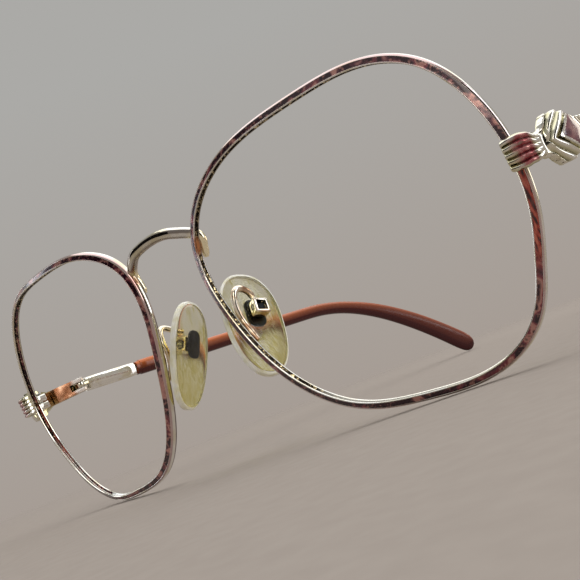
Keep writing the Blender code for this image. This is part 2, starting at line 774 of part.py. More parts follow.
def make_sleeve(name, material):
    start = PLATE_LENGTH + CLEAR
    collar = start + COLLAR_LENGTH
    end = route_length
    bend = TEMPLE_TO_BEND
    nose = [(end - 2.2, 0.9), (end - 0.8, 0.7), (end, 0.35)]
    narrow = [(start, COLLAR_SHARE), (collar, COLLAR_SHARE), (collar + 0.1, 1)]
    heights = [(x, share * SLEEVE_HEIGHT) for x, share in narrow]
    heights += [(bend, SLEEVE_HEIGHT), (bend + 0.55 * (end - bend), 0.9 * TIP_WIDTH), (end - 5, TIP_WIDTH)]
    heights += [(x, share * TIP_WIDTH) for x, share in nose]
    widths = [(x, share * SLEEVE_THICKNESS) for x, share in narrow]
    widths += [(bend, SLEEVE_THICKNESS), (end - 5, TIP_THICKNESS)]
    widths += [(x, share * TIP_THICKNESS) for x, share in nose]
    stations = [start, collar, collar + 0.1] + list(np.linspace(start + 12, end - 5, 22))
    stations += [end - 3.4, end - 2.2, end - 1.4, end - 0.8, end - 0.3, end]
    rings = [ring_on_route(x, blend(widths, x), blend(heights, x), 0.8, 14) for x in stations]
    sleeve = loft(name, rings, material)
    bore_size = CORE_WIRE + 2 * BORE_CLEAR
    stations = [start - 1] + core_stops() + [end - CORE_SHORT + CLEAR]
    rings = [ring_on_route(x, bore_size, bore_size, 1, 12) for x in stations]
    return shade(cut_away(sleeve, loft("bore", rings, material)))


def make_hinge_temple(name, material):
    # A knuckle and neck, and the leaf on the plate's inner face.
    inner = -PLATE_THICKNESS / 2 - LEAF_GAP
    middle = inner - LEAF_THICKNESS / 2
    start = temple_frame(NECK_REACH, inner, 0).xy
    shape = hull_outline(hinge_axis.xy, BARREL_RADIUS, [start, start - temple_out.xy * NECK_WIDTH])
    knuckle = outline_solid(name, shape, KNUCKLE_HEIGHT / 2, material)
    move_mesh(knuckle, Vector((0, 0, HINGE_HEIGHT)))
    half = LEAF_HEIGHT / 2
    near, far = LEAF_START, LEAF_LENGTH - half
    shape = [(near, -half), (far, -half)]
    turn = [math.pi * i / 6 for i in range(1, 6)]
    shape += [(far + half * math.sin(a), -half * math.cos(a)) for a in turn]
    shape += [(far, half), (near, half)]
    leaf = outline_solid("leaf", shape, LEAF_THICKNESS / 2, material)
    frame = Matrix((temple_way, temple_up, temple_out)).transposed().to_4x4()
    leaf.data.transform(Matrix.Translation(temple_frame(0, middle, 0) * MM) @ frame)
    fuse(knuckle, leaf)
    return shade(cut_away(knuckle, knuckle_bore(material)))


# Nose pads

pad_long = Vector((0.198, -0.433, -0.877)).normalized()
pad_face = Vector((-0.935, 0.18, -0.30)).normalized()
pad_face = (pad_face - pad_long * pad_face.dot(pad_long)).normalized()
pad_wide = pad_face.cross(pad_long)
nose_side = BRIDGE_WIDTH / 2
pad_centre = Vector((nose_side + PAD_INSET, PAD_BEHIND, -PAD_BELOW))
box_gap = PAD_BACK + CLEAR + BOX_LENGTH / 2
box_shift = -pad_long * BOX_UP - pad_wide * BOX_BEHIND
pad_axis = pad_centre + box_shift - pad_face * box_gap


def pad_matrix(origin):
    return Matrix.Translation(origin * MM) @ Matrix((pad_long, pad_wide, pad_face)).transposed().to_4x4()


def make_pad(name, material):
    solid = bmesh.new()
    bmesh.ops.create_uvsphere(solid, u_segments=24, v_segments=14, radius=1)
    for vert in solid.verts:
        x, y, z = vert.co
        reach = max(math.hypot(x, y), 1e-9)
        x = reach * math.copysign(abs(x / reach)**0.86, x)
        y = reach * math.copysign(abs(y / reach)**0.86, y)
        slim = 1 - PAD_TAPER * x
        depth = PAD_CROWN if z > 0 else PAD_BACK
        level = math.copysign(abs(z)**0.8, z)
        vert.co = Vector((x * PAD_LENGTH / 2, y * slim * PAD_WIDTH / 2, level * depth)) * MM
    bmesh.ops.transform(solid, matrix=pad_matrix(pad_centre), verts=solid.verts)
    pad = mesh_piece(name, solid, material)
    grow = 2 * BORE_CLEAR
    cut_away(pad, insert_plate("pocket", material, grow))
    return shade(cut_away(pad, insert_tang("mouth", material, grow)), 50)


def insert_plate(name, material, grow=0.0):
    half = Vector((INSERT_LENGTH + grow, INSERT_WIDTH + grow, INSERT_THICKNESS + grow)) / 2
    plate = box(name, -half, half, material)
    plate.data.transform(pad_matrix(pad_centre + box_shift + pad_face * INSERT_LIFT))
    return plate


def insert_tang(name, material, grow=0.0):
    wide = BOX_SIZE - 2 * BOX_WALL - 2 * BORE_CLEAR + grow
    low = Vector((-PAD_TANG / 2 - grow / 2, -wide / 2, -box_gap - PAD_PIN / 2 - PIN_CLEAR))
    high = Vector((PAD_TANG / 2 + grow / 2, wide / 2, INSERT_LIFT))
    tang = box(name, low, high, material)
    tang.data.transform(pad_matrix(pad_centre + box_shift))
    return tang


def pin_rod(name, radius, reach, material):
    return rod(name, pad_axis - pad_wide * reach, pad_axis + pad_wide * reach, radius, material, 12)


def make_insert(name, material):
    insert = fuse(insert_plate(name, material), insert_tang("tang", material))
    return cut_away(insert, pin_rod("bore", PAD_PIN / 2 + PIN_CLEAR, BOX_SIZE, material))


def make_pad_box(name, material):
    half = BOX_SIZE / 2
    corner = Vector((half, half, BOX_LENGTH / 2))
    outer = box(name, -corner, corner, material, BOX_BEVEL)
    hole = half - BOX_WALL
    inner = box("hole", Vector((-hole, -hole, -BOX_LENGTH)), Vector((hole, hole, BOX_LENGTH)), material)
    cut_away(outer, inner)
    outer.data.transform(pad_matrix(pad_axis))
    return cut_away(outer, pin_rod("bore", PAD_PIN / 2 + PIN_CLEAR, BOX_SIZE, material))


def make_pad_pin(name, material):
    return shade(pin_rod(name, PAD_PIN / 2, BOX_SIZE / 2, material))


def make_pad_arm(name, material):
    # From its foot behind the rim up, over and down to the box.
    radius = ARM_WIRE / 2
    low_rim = rim_at_height(ARM_FOOT, True)
    mid_rim = rim_at_height(ARM_BEND, True)
    behind = RIM_DEPTH / 2 + CLEAR + radius
    foot = low_rim + Vector((ARM_FOOT_OUT, behind, 0))
    rise = mid_rim + Vector((0, behind + 0.3, 0))
    corner = pad_axis - pad_long * (BOX_SIZE / 2 + CLEAR + radius) + pad_wide * ARM_SEAT
    over = Vector((rise.x + ARM_OUT, rise.y + ARM_REACH, ARM_TOP))
    turn = Vector((rise.x + 0.3 * ARM_OUT, rise.y + 0.25 * ARM_REACH, 0.55 * ARM_TOP))
    fall = Vector((over.x + 0.6 * ARM_OUT, (over.y + corner.y) / 2, 0.88 * ARM_TOP))
    path = smooth_path([foot, rise, turn, over, fall, corner], 27)
    lengths = path_lengths(path)
    radii = [blend([(0, 0.8 * radius), (1.2, radius), (lengths[-1], radius)], x) for x in lengths]
    return shade(wire(name, path, radii, material, 2))


# How the frame stands

def world_points(piece):
    return [piece.matrix_world @ v.co for v in piece.data.vertices]


def resting_angle(fronts, tips):
    # The turn about X that brings the rims and the temple tips to one level.
    angle = 0.0
    for _ in range(6):
        c, s = math.cos(angle), math.sin(angle)
        low = [min(group, key=lambda p: p.y * s + p.z * c) for group in (fronts, tips)]
        angle = -math.atan2(low[1].z - low[0].z, low[1].y - low[0].y)
    return angle


def make_materials():
    return {
        "silver": new_material("polished nickel silver", (0.78, 0.77, 0.74), 0.2, 1),
        "enamel": new_material("tortoise enamelled rim", (0.16, 0.05, 0.035), 0.3, 0.4),
        "inlay": new_material("mauve enamel", (0.2, 0.09, 0.1), 0.25, 0),
        "copper": new_material("copper-toned solder metal", (0.72, 0.4, 0.27), 0.3, 1),
        "steel": new_material("screw steel", (0.6, 0.6, 0.6), 0.3, 1),
        "sleeve": new_material("brown acetate", (0.3, 0.09, 0.035), 0.3, 0),
        "clear": new_material("clear silicone", (0.9, 0.88, 0.7), 0.15, 0, 0.9),
    }


def build():
    clear_scene()
    m = make_materials()
    stand = new_empty("stand", Vector())
    pivots = {}
    for side, sign in (("left", 1), ("right", -1)):
        hinge = Vector((sign * hinge_axis.x, hinge_axis.y, hinge_axis.z))
        pad = Vector((sign * pad_axis.x, pad_axis.y, pad_axis.z))
        pivots["temple_" + side] = new_empty("temple_pivot_" + side, hinge, stand)
        pivots["pad_" + side] = new_empty("pad_pivot_" + side, pad, stand)
        pivots["front_" + side] = stand
    origins = {"temple": hinge_axis, "pad": pad_axis, "front": Vector()}
    pieces = [
        ("rim", make_rim, "enamel", "front"),
        ("end_piece", make_end_piece, "silver", "front"),
        ("lozenge", make_lozenge, "inlay", "front"),
        ("closing_block_upper", lambda n, k: make_closing_block(n, k, True), "silver", "front"),
        ("closing_block_lower", lambda n, k: make_closing_block(n, k, False), "silver", "front"),
        ("rim_screw", make_rim_screw, "steel", "front"),
        ("hinge_front", make_hinge_front, "copper", "front"),
        ("hinge_screw", make_hinge_screw, "steel", "front"),
        ("pad_arm", make_pad_arm, "silver", "front"),
        ("pad_box", make_pad_box, "copper", "front"),
        ("pad_pin", make_pad_pin, "steel", "front"),
        ("hinge_temple", make_hinge_temple, "silver", "temple"),
        ("temple", make_temple, "silver", "temple"),
        ("temple_sleeve", make_sleeve, "sleeve", "temple"),
        ("pad_insert", make_insert, "steel", "pad"),
        ("nose_pad", make_pad, "clear", "pad"),
    ]
    made = {}
    bridge = make_bridge("bridge", m["silver"])
    seat_on(bridge, stand)
    for name, maker, material, body in pieces:
        left = maker(name + "_left", m[material])
        seat_on(left, pivots[body + "_left"], origins[body])
        right = mirrored(left, name + "_right", m[material], pivots[body + "_right"])
        made[name] = (left, right)
    bpy.context.view_layer.update()
    fronts = world_points(made["rim"][0])
    tips = world_points(made["temple_sleeve"][0])
    angle = resting_angle(fronts, tips)
    stand.rotation_euler.x = angle
    c, s = math.cos(angle), math.sin(angle)
    everything = [p for pair in made.values() for p in world_points(pair[0])]
    everything += world_points(bridge)
    turned_y = [p.y * c - p.z * s for p in everything]
    stand.location.y = -(min(turned_y) + max(turned_y)) / 2
    stand.location.z = -min(p.y * s + p.z * c for p in everything)


PARTS = new_collection("eyeglass_frame")
build()
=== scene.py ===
# Looks for a vintage metal eyeglass frame. New pieces are modelled in millimetres in the front's
# own frame (x to the wearer's left, y back, z up) and then placed where the frame stands.
import math

import bpy
from mathutils import Matrix, Vector


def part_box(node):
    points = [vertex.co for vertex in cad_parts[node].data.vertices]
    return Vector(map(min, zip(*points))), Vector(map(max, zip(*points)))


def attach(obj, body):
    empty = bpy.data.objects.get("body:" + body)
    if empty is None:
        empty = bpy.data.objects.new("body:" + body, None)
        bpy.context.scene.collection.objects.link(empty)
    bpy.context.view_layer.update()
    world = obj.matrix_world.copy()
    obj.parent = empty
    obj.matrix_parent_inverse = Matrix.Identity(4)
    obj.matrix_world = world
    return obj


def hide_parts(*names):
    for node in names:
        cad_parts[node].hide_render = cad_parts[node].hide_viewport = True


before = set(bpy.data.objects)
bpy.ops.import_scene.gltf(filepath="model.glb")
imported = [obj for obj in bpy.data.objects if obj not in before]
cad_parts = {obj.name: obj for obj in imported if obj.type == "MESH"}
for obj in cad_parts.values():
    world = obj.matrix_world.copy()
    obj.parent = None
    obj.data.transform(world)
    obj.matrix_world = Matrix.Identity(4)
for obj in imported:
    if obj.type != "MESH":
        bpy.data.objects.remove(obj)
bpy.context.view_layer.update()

mm = 0.001
sides = ("left", "right")

stand = {"turn": 8.24028, "shift": (0, -76.089, 23.245)}  # how the front stands on its rims
frontToStand = (Matrix.Scale(mm, 4) @ Matrix.Translation(Vector(stand["shift"]))
                @ Matrix.Rotation(math.radians(stand["turn"]), 4, "X"))
mirrorX = Matrix.Scale(-1, 4, (1, 0, 0))
frontWay = (frontToStand.to_3x3() @ Vector((0, -1, 0))).normalized()


# Working helpers

meshCare = {"merge": 0.002, "quadBend": 50, "quadSkew": 60, "flat": 2}  # mm, then degrees
brokenEdge = {"segments": 2, "sharp": 30, "shade": 35}
roundedForm = {"levels": 2, "shade": 60}


def clearSelection():
    if bpy.context.object and bpy.context.object.mode != "OBJECT":
        bpy.ops.object.mode_set(mode="OBJECT")
    bpy.ops.object.select_all(action="DESELECT")


def pick(piece):
    clearSelection()
    piece.select_set(True)
    bpy.context.view_layer.objects.active = piece


def enterEdit():
    bpy.ops.object.mode_set(mode="EDIT")


def leaveEdit():
    bpy.ops.object.mode_set(mode="OBJECT")


def editAll(piece):
    pick(piece)
    enterEdit()
    bpy.ops.mesh.select_all(action="SELECT")


def editOnly(piece, kind, wanted):
    # Edit mode, with only the faces or edges selected that wanted() accepts.
    pick(piece)
    enterEdit()
    bpy.ops.mesh.select_mode(type=kind)
    bpy.ops.mesh.select_all(action="DESELECT")
    leaveEdit()
    for part in piece.data.polygons if kind == "FACE" else piece.data.edges:
        part.select = wanted(part)
    enterEdit()


def modify(piece, kind, **settings):
    # Adds one modifier and applies it.
    pick(piece)
    step = piece.modifiers.new(kind.lower(), kind)
    for key, value in settings.items():
        setattr(step, key, value)
    bpy.ops.object.modifier_apply(modifier=step.name)


def smoothShade(piece, degrees):
    pick(piece)
    bpy.ops.object.shade_smooth_by_angle(angle=math.radians(degrees))


def placeOnStand(piece, degrees):
    # From millimetres in the front's frame to metres in the stand's, and shaded smooth.
    piece.data.transform(frontToStand)
    smoothShade(piece, degrees)


def pointOutwards(piece):
    editAll(piece)
    bpy.ops.mesh.normals_make_consistent(inside=False)
    leaveEdit()


def mirroredCopy(piece, name):
    mesh = piece.data.copy()
    mesh.transform(mirrorX)
    mesh.flip_normals()
    other = bpy.data.objects.new(name, mesh)
    bpy.context.scene.collection.objects.link(other)
    return other


def copyOfNode(nodeName, pieceName, quads=True):
    # The CAD node's shape as a merged mesh that can be refined.
    piece = bpy.data.objects.new(pieceName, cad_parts[nodeName].data.copy())
    bpy.context.scene.collection.objects.link(piece)
    editAll(piece)
    bpy.ops.mesh.customdata_custom_splitnormals_clear()
    bpy.ops.mesh.remove_doubles(threshold=meshCare["merge"] * mm)
    if quads:
        bpy.ops.mesh.tris_convert_to_quads(face_threshold=math.radians(meshCare["quadBend"]),
                                           shape_threshold=math.radians(meshCare["quadSkew"]))
    else:
        bpy.ops.mesh.dissolve_limited(angle_limit=math.radians(meshCare["flat"]))
    leaveEdit()
    return piece


def creaseSharp(piece, degrees, amount):
    pick(piece)
    enterEdit()
    bpy.ops.mesh.select_mode(type="EDGE")
    bpy.ops.mesh.select_all(action="DESELECT")
    bpy.ops.mesh.edges_select_sharp(sharpness=math.radians(degrees))
    bpy.ops.transform.edge_crease(value=amount)
    bpy.ops.mesh.select_mode(type="FACE")
    leaveEdit()


def breakEdges(piece, width):
    modify(piece, "BEVEL", width=width * mm, segments=brokenEdge["segments"], limit_method="ANGLE",
           angle_limit=math.radians(brokenEdge["sharp"]), use_clamp_overlap=True)
    smoothShade(piece, brokenEdge["shade"])


def roundForm(piece):
    modify(piece, "SUBSURF", levels=roundedForm["levels"], render_levels=roundedForm["levels"])
    smoothShade(piece, roundedForm["shade"])


def onSide(body, side):
    # A body whose name ends in an underscore has one for each side.
    return body + side if body.endswith("_") else body


def dress(piece, materials, body, node):
    # Materials, body and the node that the piece stands for.
    if len(piece.data.materials) != len(materials):
        piece.data.materials.clear()
        for each in materials:
            piece.data.materials.append(each)
    else:
        for i, each in enumerate(materials):
            piece.data.materials[i] = each
    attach(piece, body)
    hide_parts(node)


# Materials

mixFrom, mixTo, mixResult = 6, 7, 2  # a Mix node's two colour sockets, and its colour output


def toLinear(hexColour):
    parts = [int(hexColour[i:i + 2], 16) / 255 for i in (1, 3, 5)]
    return [c / 12.92 if c <= 0.04045 else ((c + 0.055) / 1.055)**2.4 for c in parts] + [1]


def addNode(tree, kind, settings=None, links=None):
    # One node with its settings and links. A link is (socket, node) or (socket, node, output).
    # Hex colours are turned to linear, and "stops" fills a colour ramp.
    node = tree.nodes.new("ShaderNode" + kind)
    for key, value in (settings or {}).items():
        if key == "stops":
            while len(node.color_ramp.elements) < len(value):
                node.color_ramp.elements.new(0.5)
            for element, (place, tone) in zip(node.color_ramp.elements, value):
                element.position = place
                element.color = toLinear(tone) if isinstance(tone, str) else (tone,) * 3 + (1,)
        elif isinstance(key, int) or key in node.inputs:
            node.inputs[key].default_value = toLinear(value) if isinstance(value, str) else value
        else:
            setattr(node, key, value)
    for socket, source, *output in links or []:
        tree.links.new(source.outputs[output[0] if output else 0], node.inputs[socket])
    return node


def perMm(size):
    # Noise scale for a feature of this many millimetres, on coordinates in metres.
    return 1 / (size * mm)


# The noise of the handling marks, and the part of its range that the gloss follows.
wearLook = {"detail": 3.0, "roughness": 0.6, "low": 0.35, "high": 0.7, "strength": 0.35}


def addWear(tree, shader, place, look):
    # Fine handling marks: a gloss that varies and a shallow bump of the same grain.
    noise = addNode(tree, "TexNoise", {"Scale": perMm(look["grain"]), "Detail": wearLook["detail"],
                                       "Roughness": wearLook["roughness"]}, [("Vector", place, "Object")])
    low, high = look["gloss"]
    gloss = addNode(tree, "MapRange", {"From Min": wearLook["low"], "From Max": wearLook["high"],
                                       "To Min": low, "To Max": high}, [("Value", noise)])
    bump = addNode(tree, "Bump", {"Strength": wearLook["strength"], "Distance": look["depth"] * mm},
                   [("Height", noise)])
    tree.links.new(gloss.outputs[0], shader.inputs["Roughness"])
    tree.links.new(bump.outputs[0], shader.inputs["Normal"])


def addGradedSwirl(tree, place, look):
    # Stretched swirls on top of a slow change along one axis.
    turn = addNode(tree, "Mapping", {"Scale": look["stretch"]}, [("Vector", place, "Object")])
    swirl = addNode(tree, "TexNoise", {"Scale": perMm(look["patch"]), **look["noise"]}, [("Vector", turn)])
    where = addNode(tree, "SeparateXYZ", {}, [("Vector", place, "Object")])
    start, end = look["span"]
    low, high = look["change"]
    along = addNode(tree, "MapRange", {"From Min": start * mm, "From Max": end * mm,
                                       "To Min": low, "To Max": high}, [("Value", where, look["axis"])])
    return addNode(tree, "Math", {"operation": "MULTIPLY_ADD", 1: look["swirl"]}, [(0, swirl), (2, along)])


def startMaterial(name, look):
    # A material whose colour drifts in patches, with handling marks where its look has a grain.
    # The sizes in a look are in millimetres.
    made = bpy.data.materials.new(name)
    made.use_nodes = True
    made.diffuse_color = toLinear(look["colour"])
    tree = made.node_tree
    shader = tree.nodes["Principled BSDF"]
    shader.inputs["Base Color"].default_value = toLinear(look["colour"])
    for key, value in look["shader"].items():
        shader.inputs[key].default_value = value
    place = addNode(tree, "TexCoord")
    if "swirl" in look:
        spread = addGradedSwirl(tree, place, look)
    else:
        spread = addNode(tree, "TexNoise", {"Scale": perMm(look["patch"]), **look["noise"]},
                         [("Vector", place, "Object")])
    tone = addNode(tree, "ValToRGB", {"stops": look["tones"]}, [("Fac", spread)])
    tree.links.new(tone.outputs[0], shader.inputs["Base Color"])
    if "grain" in look:
        addWear(tree, shader, place, look)
    return made, tree, shader, place, tone


def addSpot(tree, place, spot):
    # 1 within the radius of a point and of its mirror image, falling to 0 over the soft edge.
    fold = addNode(tree, "VectorMath", {"operation": "ABSOLUTE"}, [(0, place, "Object")])
    centre = Vector([abs(value) for value in spot["at"]]) * mm
    far = addNode(tree, "VectorMath", {"operation": "DISTANCE", 1: centre}, [(0, fold)])
    edge = {"From Min": (spot["radius"] + spot["soft"]) * mm, "From Max": spot["radius"] * mm}
    return addNode(tree, "MapRange", edge, [("Value", far, "Value")])


solderSpot = {"at": (8.4, -77.0, 35.2), "radius": 1.0, "soft": 0.9, "colour": "#c98a5e"}


def addSolderTint(tree, place, tone):
    # Copper-coloured braze between the rim and the bridge's foot, the same on both sides.
    near = addSpot(tree, place, solderSpot)
    return addNode(tree, "Mix", {"data_type": "RGBA", mixTo: solderSpot["colour"]},
                   [(0, near), (mixFrom, tone)])


silverLook = {
    "colour": "#eceae3", "shader": {"Roughness": 0.18, "Metallic": 1.0},
    "patch": 5.0, "noise": {"Detail": 4.0, "Roughness": 0.62},
    "tones": [(0.36, "#d9d1b4"), (0.56, "#eceae3")],
    "grain": 0.35, "depth": 0.003, "gloss": (0.06, 0.16),
}


def startSilver(name):
    # Nickel silver, rolled and buffed: bright with a yellow cast.
    made, tree, shader, place, tone = startMaterial(name, silverLook)
    colour = addSolderTint(tree, place, tone)
    tree.links.new(colour.outputs[mixResult], shader.inputs["Base Color"])
    return made, tree, shader, place, colour


ornamentLook = {
    # hollow is a warm tint painted as a reflection; valley and deepRed are painted shade, partly tarnish.
    "hollow": "#c4bf95", "hollowFrom": 0.1, "hollowTo": 0.5, "hollowShare": 0.75,
    "valley": "#645e48", "valleyFrom": 0.55, "valleyTo": 1.0, "valleyShare": 0.8,
    "patch": 0.9, "reds": [(0.36, "#742a34"), (0.5, "#a64a50"), (0.66, "#d09a96")], "deepRed": "#34121a",
    "ragged": 0.7, "edgeFrom": 0.2, "edgeTo": 0.75, "metal": 0.45,
}


def makeOrnamentSilver():
    # Struck silver with red enamel between the band's ribs: a warm painted reflection in the hollows, and
    # painted shade (partly tarnish) darkening the valleys and their red.
    look = ornamentLook
    made, tree, shader, place, colour = startSilver("struck nickel silver")
    recess = addNode(tree, "Attribute", {"attribute_name": "recess"})
    # Painted reflection: a warm tint in the hollows.
    warm = addNode(tree, "MapRange", {"From Min": look["hollowFrom"], "From Max": look["hollowTo"],
                                      "To Max": look["hollowShare"]}, [("Value", recess, "Fac")])
    colour = addNode(tree, "Mix", {"data_type": "RGBA", mixTo: look["hollow"]},
                     [(0, warm), (mixFrom, colour, mixResult)])
    # Painted shade, partly tarnish: the valleys go dark, and so does the red in them.
    dark = addNode(tree, "MapRange", {"From Min": look["valleyFrom"], "From Max": look["valleyTo"],
                                      "To Max": look["valleyShare"]}, [("Value", recess, "Fac")])
    colour = addNode(tree, "Mix", {"data_type": "RGBA", mixTo: look["valley"]},
                     [(0, dark), (mixFrom, colour, mixResult)])
    enamel = addNode(tree, "Attribute", {"attribute_name": "enamel"})
    cloud = addNode(tree, "TexNoise", {"Scale": perMm(look["patch"]), "Detail": 2.0},
                    [("Vector", place, "Object")])
    red = addNode(tree, "ValToRGB", {"stops": look["reds"]}, [("Fac", cloud)])
    red = addNode(tree, "Mix", {"data_type": "RGBA", mixTo: look["deepRed"]}, [(0, dark), (mixFrom, red)])
    spread = addNode(tree, "Math", {"operation": "MULTIPLY_ADD", 1: look["ragged"], 2: -look["ragged"] / 2},
                     [(0, cloud)])
    edge = addNode(tree, "Math", {"operation": "ADD"}, [(0, enamel, "Fac"), (1, spread)])
    cover = addNode(tree, "MapRange", {"From Min": look["edgeFrom"], "From Max": look["edgeTo"]},
                    [("Value", edge)])
    colour = addNode(tree, "Mix", {"data_type": "RGBA"},
                     [(0, cover), (mixFrom, colour, mixResult), (mixTo, red, mixResult)])
    metal = addNode(tree, "MapRange", {"To Min": 1.0, "To Max": look["metal"]}, [("Value", cover)])
    tree.links.new(metal.outputs[0], shader.inputs["Metallic"])
    tree.links.new(colour.outputs[mixResult], shader.inputs["Base Color"])
    return made


bridgeLook = {
    "under": "#7d7069",  # painted shade, and its share from where the surface faces down (0) to up (1)
    "share": [(0.1, 0.7), (0.2, 0.15), (0.36, 0.15), (0.46, 0.9), (0.68, 0.9), (0.8, 0.0)],
    "foot": {"at": (8.5, -74.8, 35.0), "radius": 2.0, "soft": 1.5, "colour": "#fff4d0"},
}


def makeBridgeSilver():
    # The bridge's wire: bright above, with painted shade where it faces down and in a band where it faces
    # sideways, and gold-coloured at its feet.
    look = bridgeLook
    made, tree, shader, place, colour = startSilver("drawn bridge silver")
    split = addNode(tree, "SeparateXYZ", {}, [("Vector", place, "Normal")])
    level = addNode(tree, "MapRange", {"From Min": -1.0, "From Max": 1.0}, [("Value", split, "Z")])
    under = addNode(tree, "ValToRGB", {"stops": look["share"]}, [("Fac", level)])
    colour = addNode(tree, "Mix", {"data_type": "RGBA", mixTo: look["under"]},
                     [(0, under), (mixFrom, colour, mixResult)])
    foot = addSpot(tree, place, look["foot"])
    colour = addNode(tree, "Mix", {"data_type": "RGBA", mixTo: look["foot"]["colour"]},
                     [(0, foot), (mixFrom, colour, mixResult)])
    tree.links.new(colour.outputs[mixResult], shader.inputs["Base Color"])
    return made


wireLook = {
    # A darker tone for the back corner and a painted pinkish shade line for the outer shoulder, with their
    # shares by how far the surface faces back and to the front, and the millimetres over which a face comes
    # to count as an outer one.
    "cornerTone": "#4c3334", "corner": [(0.02, 0.0), (0.14, 0.85), (0.5, 0.85), (0.75, 0.0)],
    "shoulderShade": "#c4a3a4", "shoulder": [(0.35, 0.0), (0.5, 0.8), (0.8, 0.8), (0.92, 0.0)], "outerFade": 5,
}


def makeWireSilver():
    # The rim's wire: darker along its back corner, with a painted line of shade and reflection beside the
    # enamel on its outer shoulder.
    look = wireLook
    made, tree, shader, place, colour = startSilver("rolled rim wire silver")
    split = addNode(tree, "SeparateXYZ", {}, [("Vector", place, "Normal")])
    corner = addNode(tree, "ValToRGB", {"stops": look["corner"]}, [("Fac", split, "Y")])
    # Both rims are folded onto the left one, to tell the outer shoulder from the inner.
    low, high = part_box("rim_left")
    middle = Vector([abs(value) for value in (low + high) / 2])
    fold = addNode(tree, "VectorMath", {"operation": "ABSOLUTE"}, [(0, place, "Object")])
    side = addNode(tree, "VectorMath", {"operation": "SIGN"}, [(0, place, "Object")])
    facing = addNode(tree, "VectorMath", {"operation": "MULTIPLY"}, [(0, place, "Normal"), (1, side)])
    arm = addNode(tree, "VectorMath", {"operation": "SUBTRACT", 1: middle}, [(0, fold)])
    away = addNode(tree, "VectorMath", {"operation": "DOT_PRODUCT"}, [(0, arm), (1, facing)])
    outer = addNode(tree, "MapRange", {"From Max": look["outerFade"] * mm}, [("Value", away, "Value")])
    turned = addNode(tree, "Math", {"operation": "MULTIPLY", 1: -1.0}, [(0, split, "Y")])
    shoulder = addNode(tree, "ValToRGB", {"stops": look["shoulder"]}, [("Fac", turned)])
    line = addNode(tree, "Math", {"operation": "MULTIPLY"}, [(0, outer), (1, shoulder)])
    # Darker along the faces turned partly back.
    colour = addNode(tree, "Mix", {"data_type": "RGBA", mixTo: look["cornerTone"]},
                     [(0, corner), (mixFrom, colour, mixResult)])
    # Painted shade and reflection: a pinkish line on the outer shoulder beside the enamel.
    colour = addNode(tree, "Mix", {"data_type": "RGBA", mixTo: look["shoulderShade"]},
                     [(0, line), (mixFrom, colour, mixResult)])
    tree.links.new(colour.outputs[mixResult], shader.inputs["Base Color"])
    return made


grooveLook = {
    "colour": "#4d4230", "shader": {"Roughness": 0.4, "Metallic": 1.0},
    "patch": 0.6, "noise": {"Detail": 5.0, "Roughness": 0.7},
    "tones": [(0.48, "#16130f"), (0.55, "#4d4230"), (0.61, "#e6d6ae")],
    "grain": 0.25, "depth": 0.003, "gloss": (0.15, 0.35),
    # A painted highlight along the bottom, where the groove faces up to the light.
    "polished": {"at": (40, -77, 4), "radius": 19, "soft": 4, "colour": "#eae7dd"},
}


def makeGroove():
    # The groove's floor: nearly black tarnish with pale metal showing, and a painted highlight of pale
    # metal colour along the bottom.
    made, tree, shader, place, tone = startMaterial("tarnished groove brass", grooveLook)
    highlightShare = addSpot(tree, place, grooveLook["polished"])
    colour = addNode(tree, "Mix", {"data_type": "RGBA", mixTo: grooveLook["polished"]["colour"]},
                     [(0, highlightShare), (mixFrom, addSolderTint(tree, place, tone), mixResult)])
    tree.links.new(colour.outputs[mixResult], shader.inputs["Base Color"])
    return made


tortoise = {"black": "#2c0a18", "brown": "#62343d", "tan": "#b98479", "red": "#7c323c"}
enamelLook = {
    "colour": tortoise["brown"],
    "shader": {"Roughness": 0.2, "Metallic": 0.3, "Coat Weight": 0.6, "Coat Roughness": 0.04},
    "patch": 6.0, "noise": {"Detail": 3.0, "Roughness": 0.62, "Distortion": 0.6},
    "tones": [(0.37, tortoise["tan"]), (0.41, tortoise["brown"]), (0.44, tortoise["black"]),
              (0.52, tortoise["black"]), (0.55, tortoise["brown"]), (0.58, tortoise["red"]),
              (0.61, tortoise["tan"]), (0.66, tortoise["black"])],
    "grain": 0.25, "depth": 0.003, "gloss": (0.15, 0.32),
    "speck": 0.7, "speckFrom": 0.56, "speckTo": 0.66, "speckShare": 0.6,
    # The bright red patch, at the temple side of the rims.
    "bright": {"at": (58, -69, 19), "radius": 5, "soft": 4}, "brightShare": 0.9,
    "streak": 0.45, "drawn": (1.0, 1.0, 0.1),
    "reds": [(0.4, "#340c10"), (0.5, "#a03022"), (0.64, "#cc7058")],
}


def makeRimEnamel():
    # Translucent tortoise enamel fired on metal: glossy, with patches from black to tan.
    look = enamelLook
    made, tree, shader, place, tone = startMaterial("fired tortoise enamel", look)
    specks = addNode(tree, "TexNoise", {"Scale": perMm(look["speck"]), "Detail": 2.0},
                     [("Vector", place, "Object")])
    dots = addNode(tree, "MapRange", {"From Min": look["speckFrom"], "From Max": look["speckTo"],
                                      "To Max": look["speckShare"]}, [("Value", specks)])
    colour = addNode(tree, "Mix", {"data_type": "RGBA", mixTo: tortoise["tan"]},
                     [(0, dots), (mixFrom, tone)])
    bright = addSpot(tree, place, look["bright"])
    part = addNode(tree, "Math", {"operation": "MULTIPLY", 1: look["brightShare"]}, [(0, bright)])
    turn = addNode(tree, "Mapping", {"Scale": look["drawn"]}, [("Vector", place, "Object")])
    streak = addNode(tree, "TexNoise", {"Scale": perMm(look["streak"]), "Detail": 2.0}, [("Vector", turn)])
    red = addNode(tree, "ValToRGB", {"stops": look["reds"]}, [("Fac", streak)])
    colour = addNode(tree, "Mix", {"data_type": "RGBA"},
                     [(0, part), (mixFrom, colour, mixResult), (mixTo, red)])
    tree.links.new(colour.outputs[mixResult], shader.inputs["Base Color"])
    return made


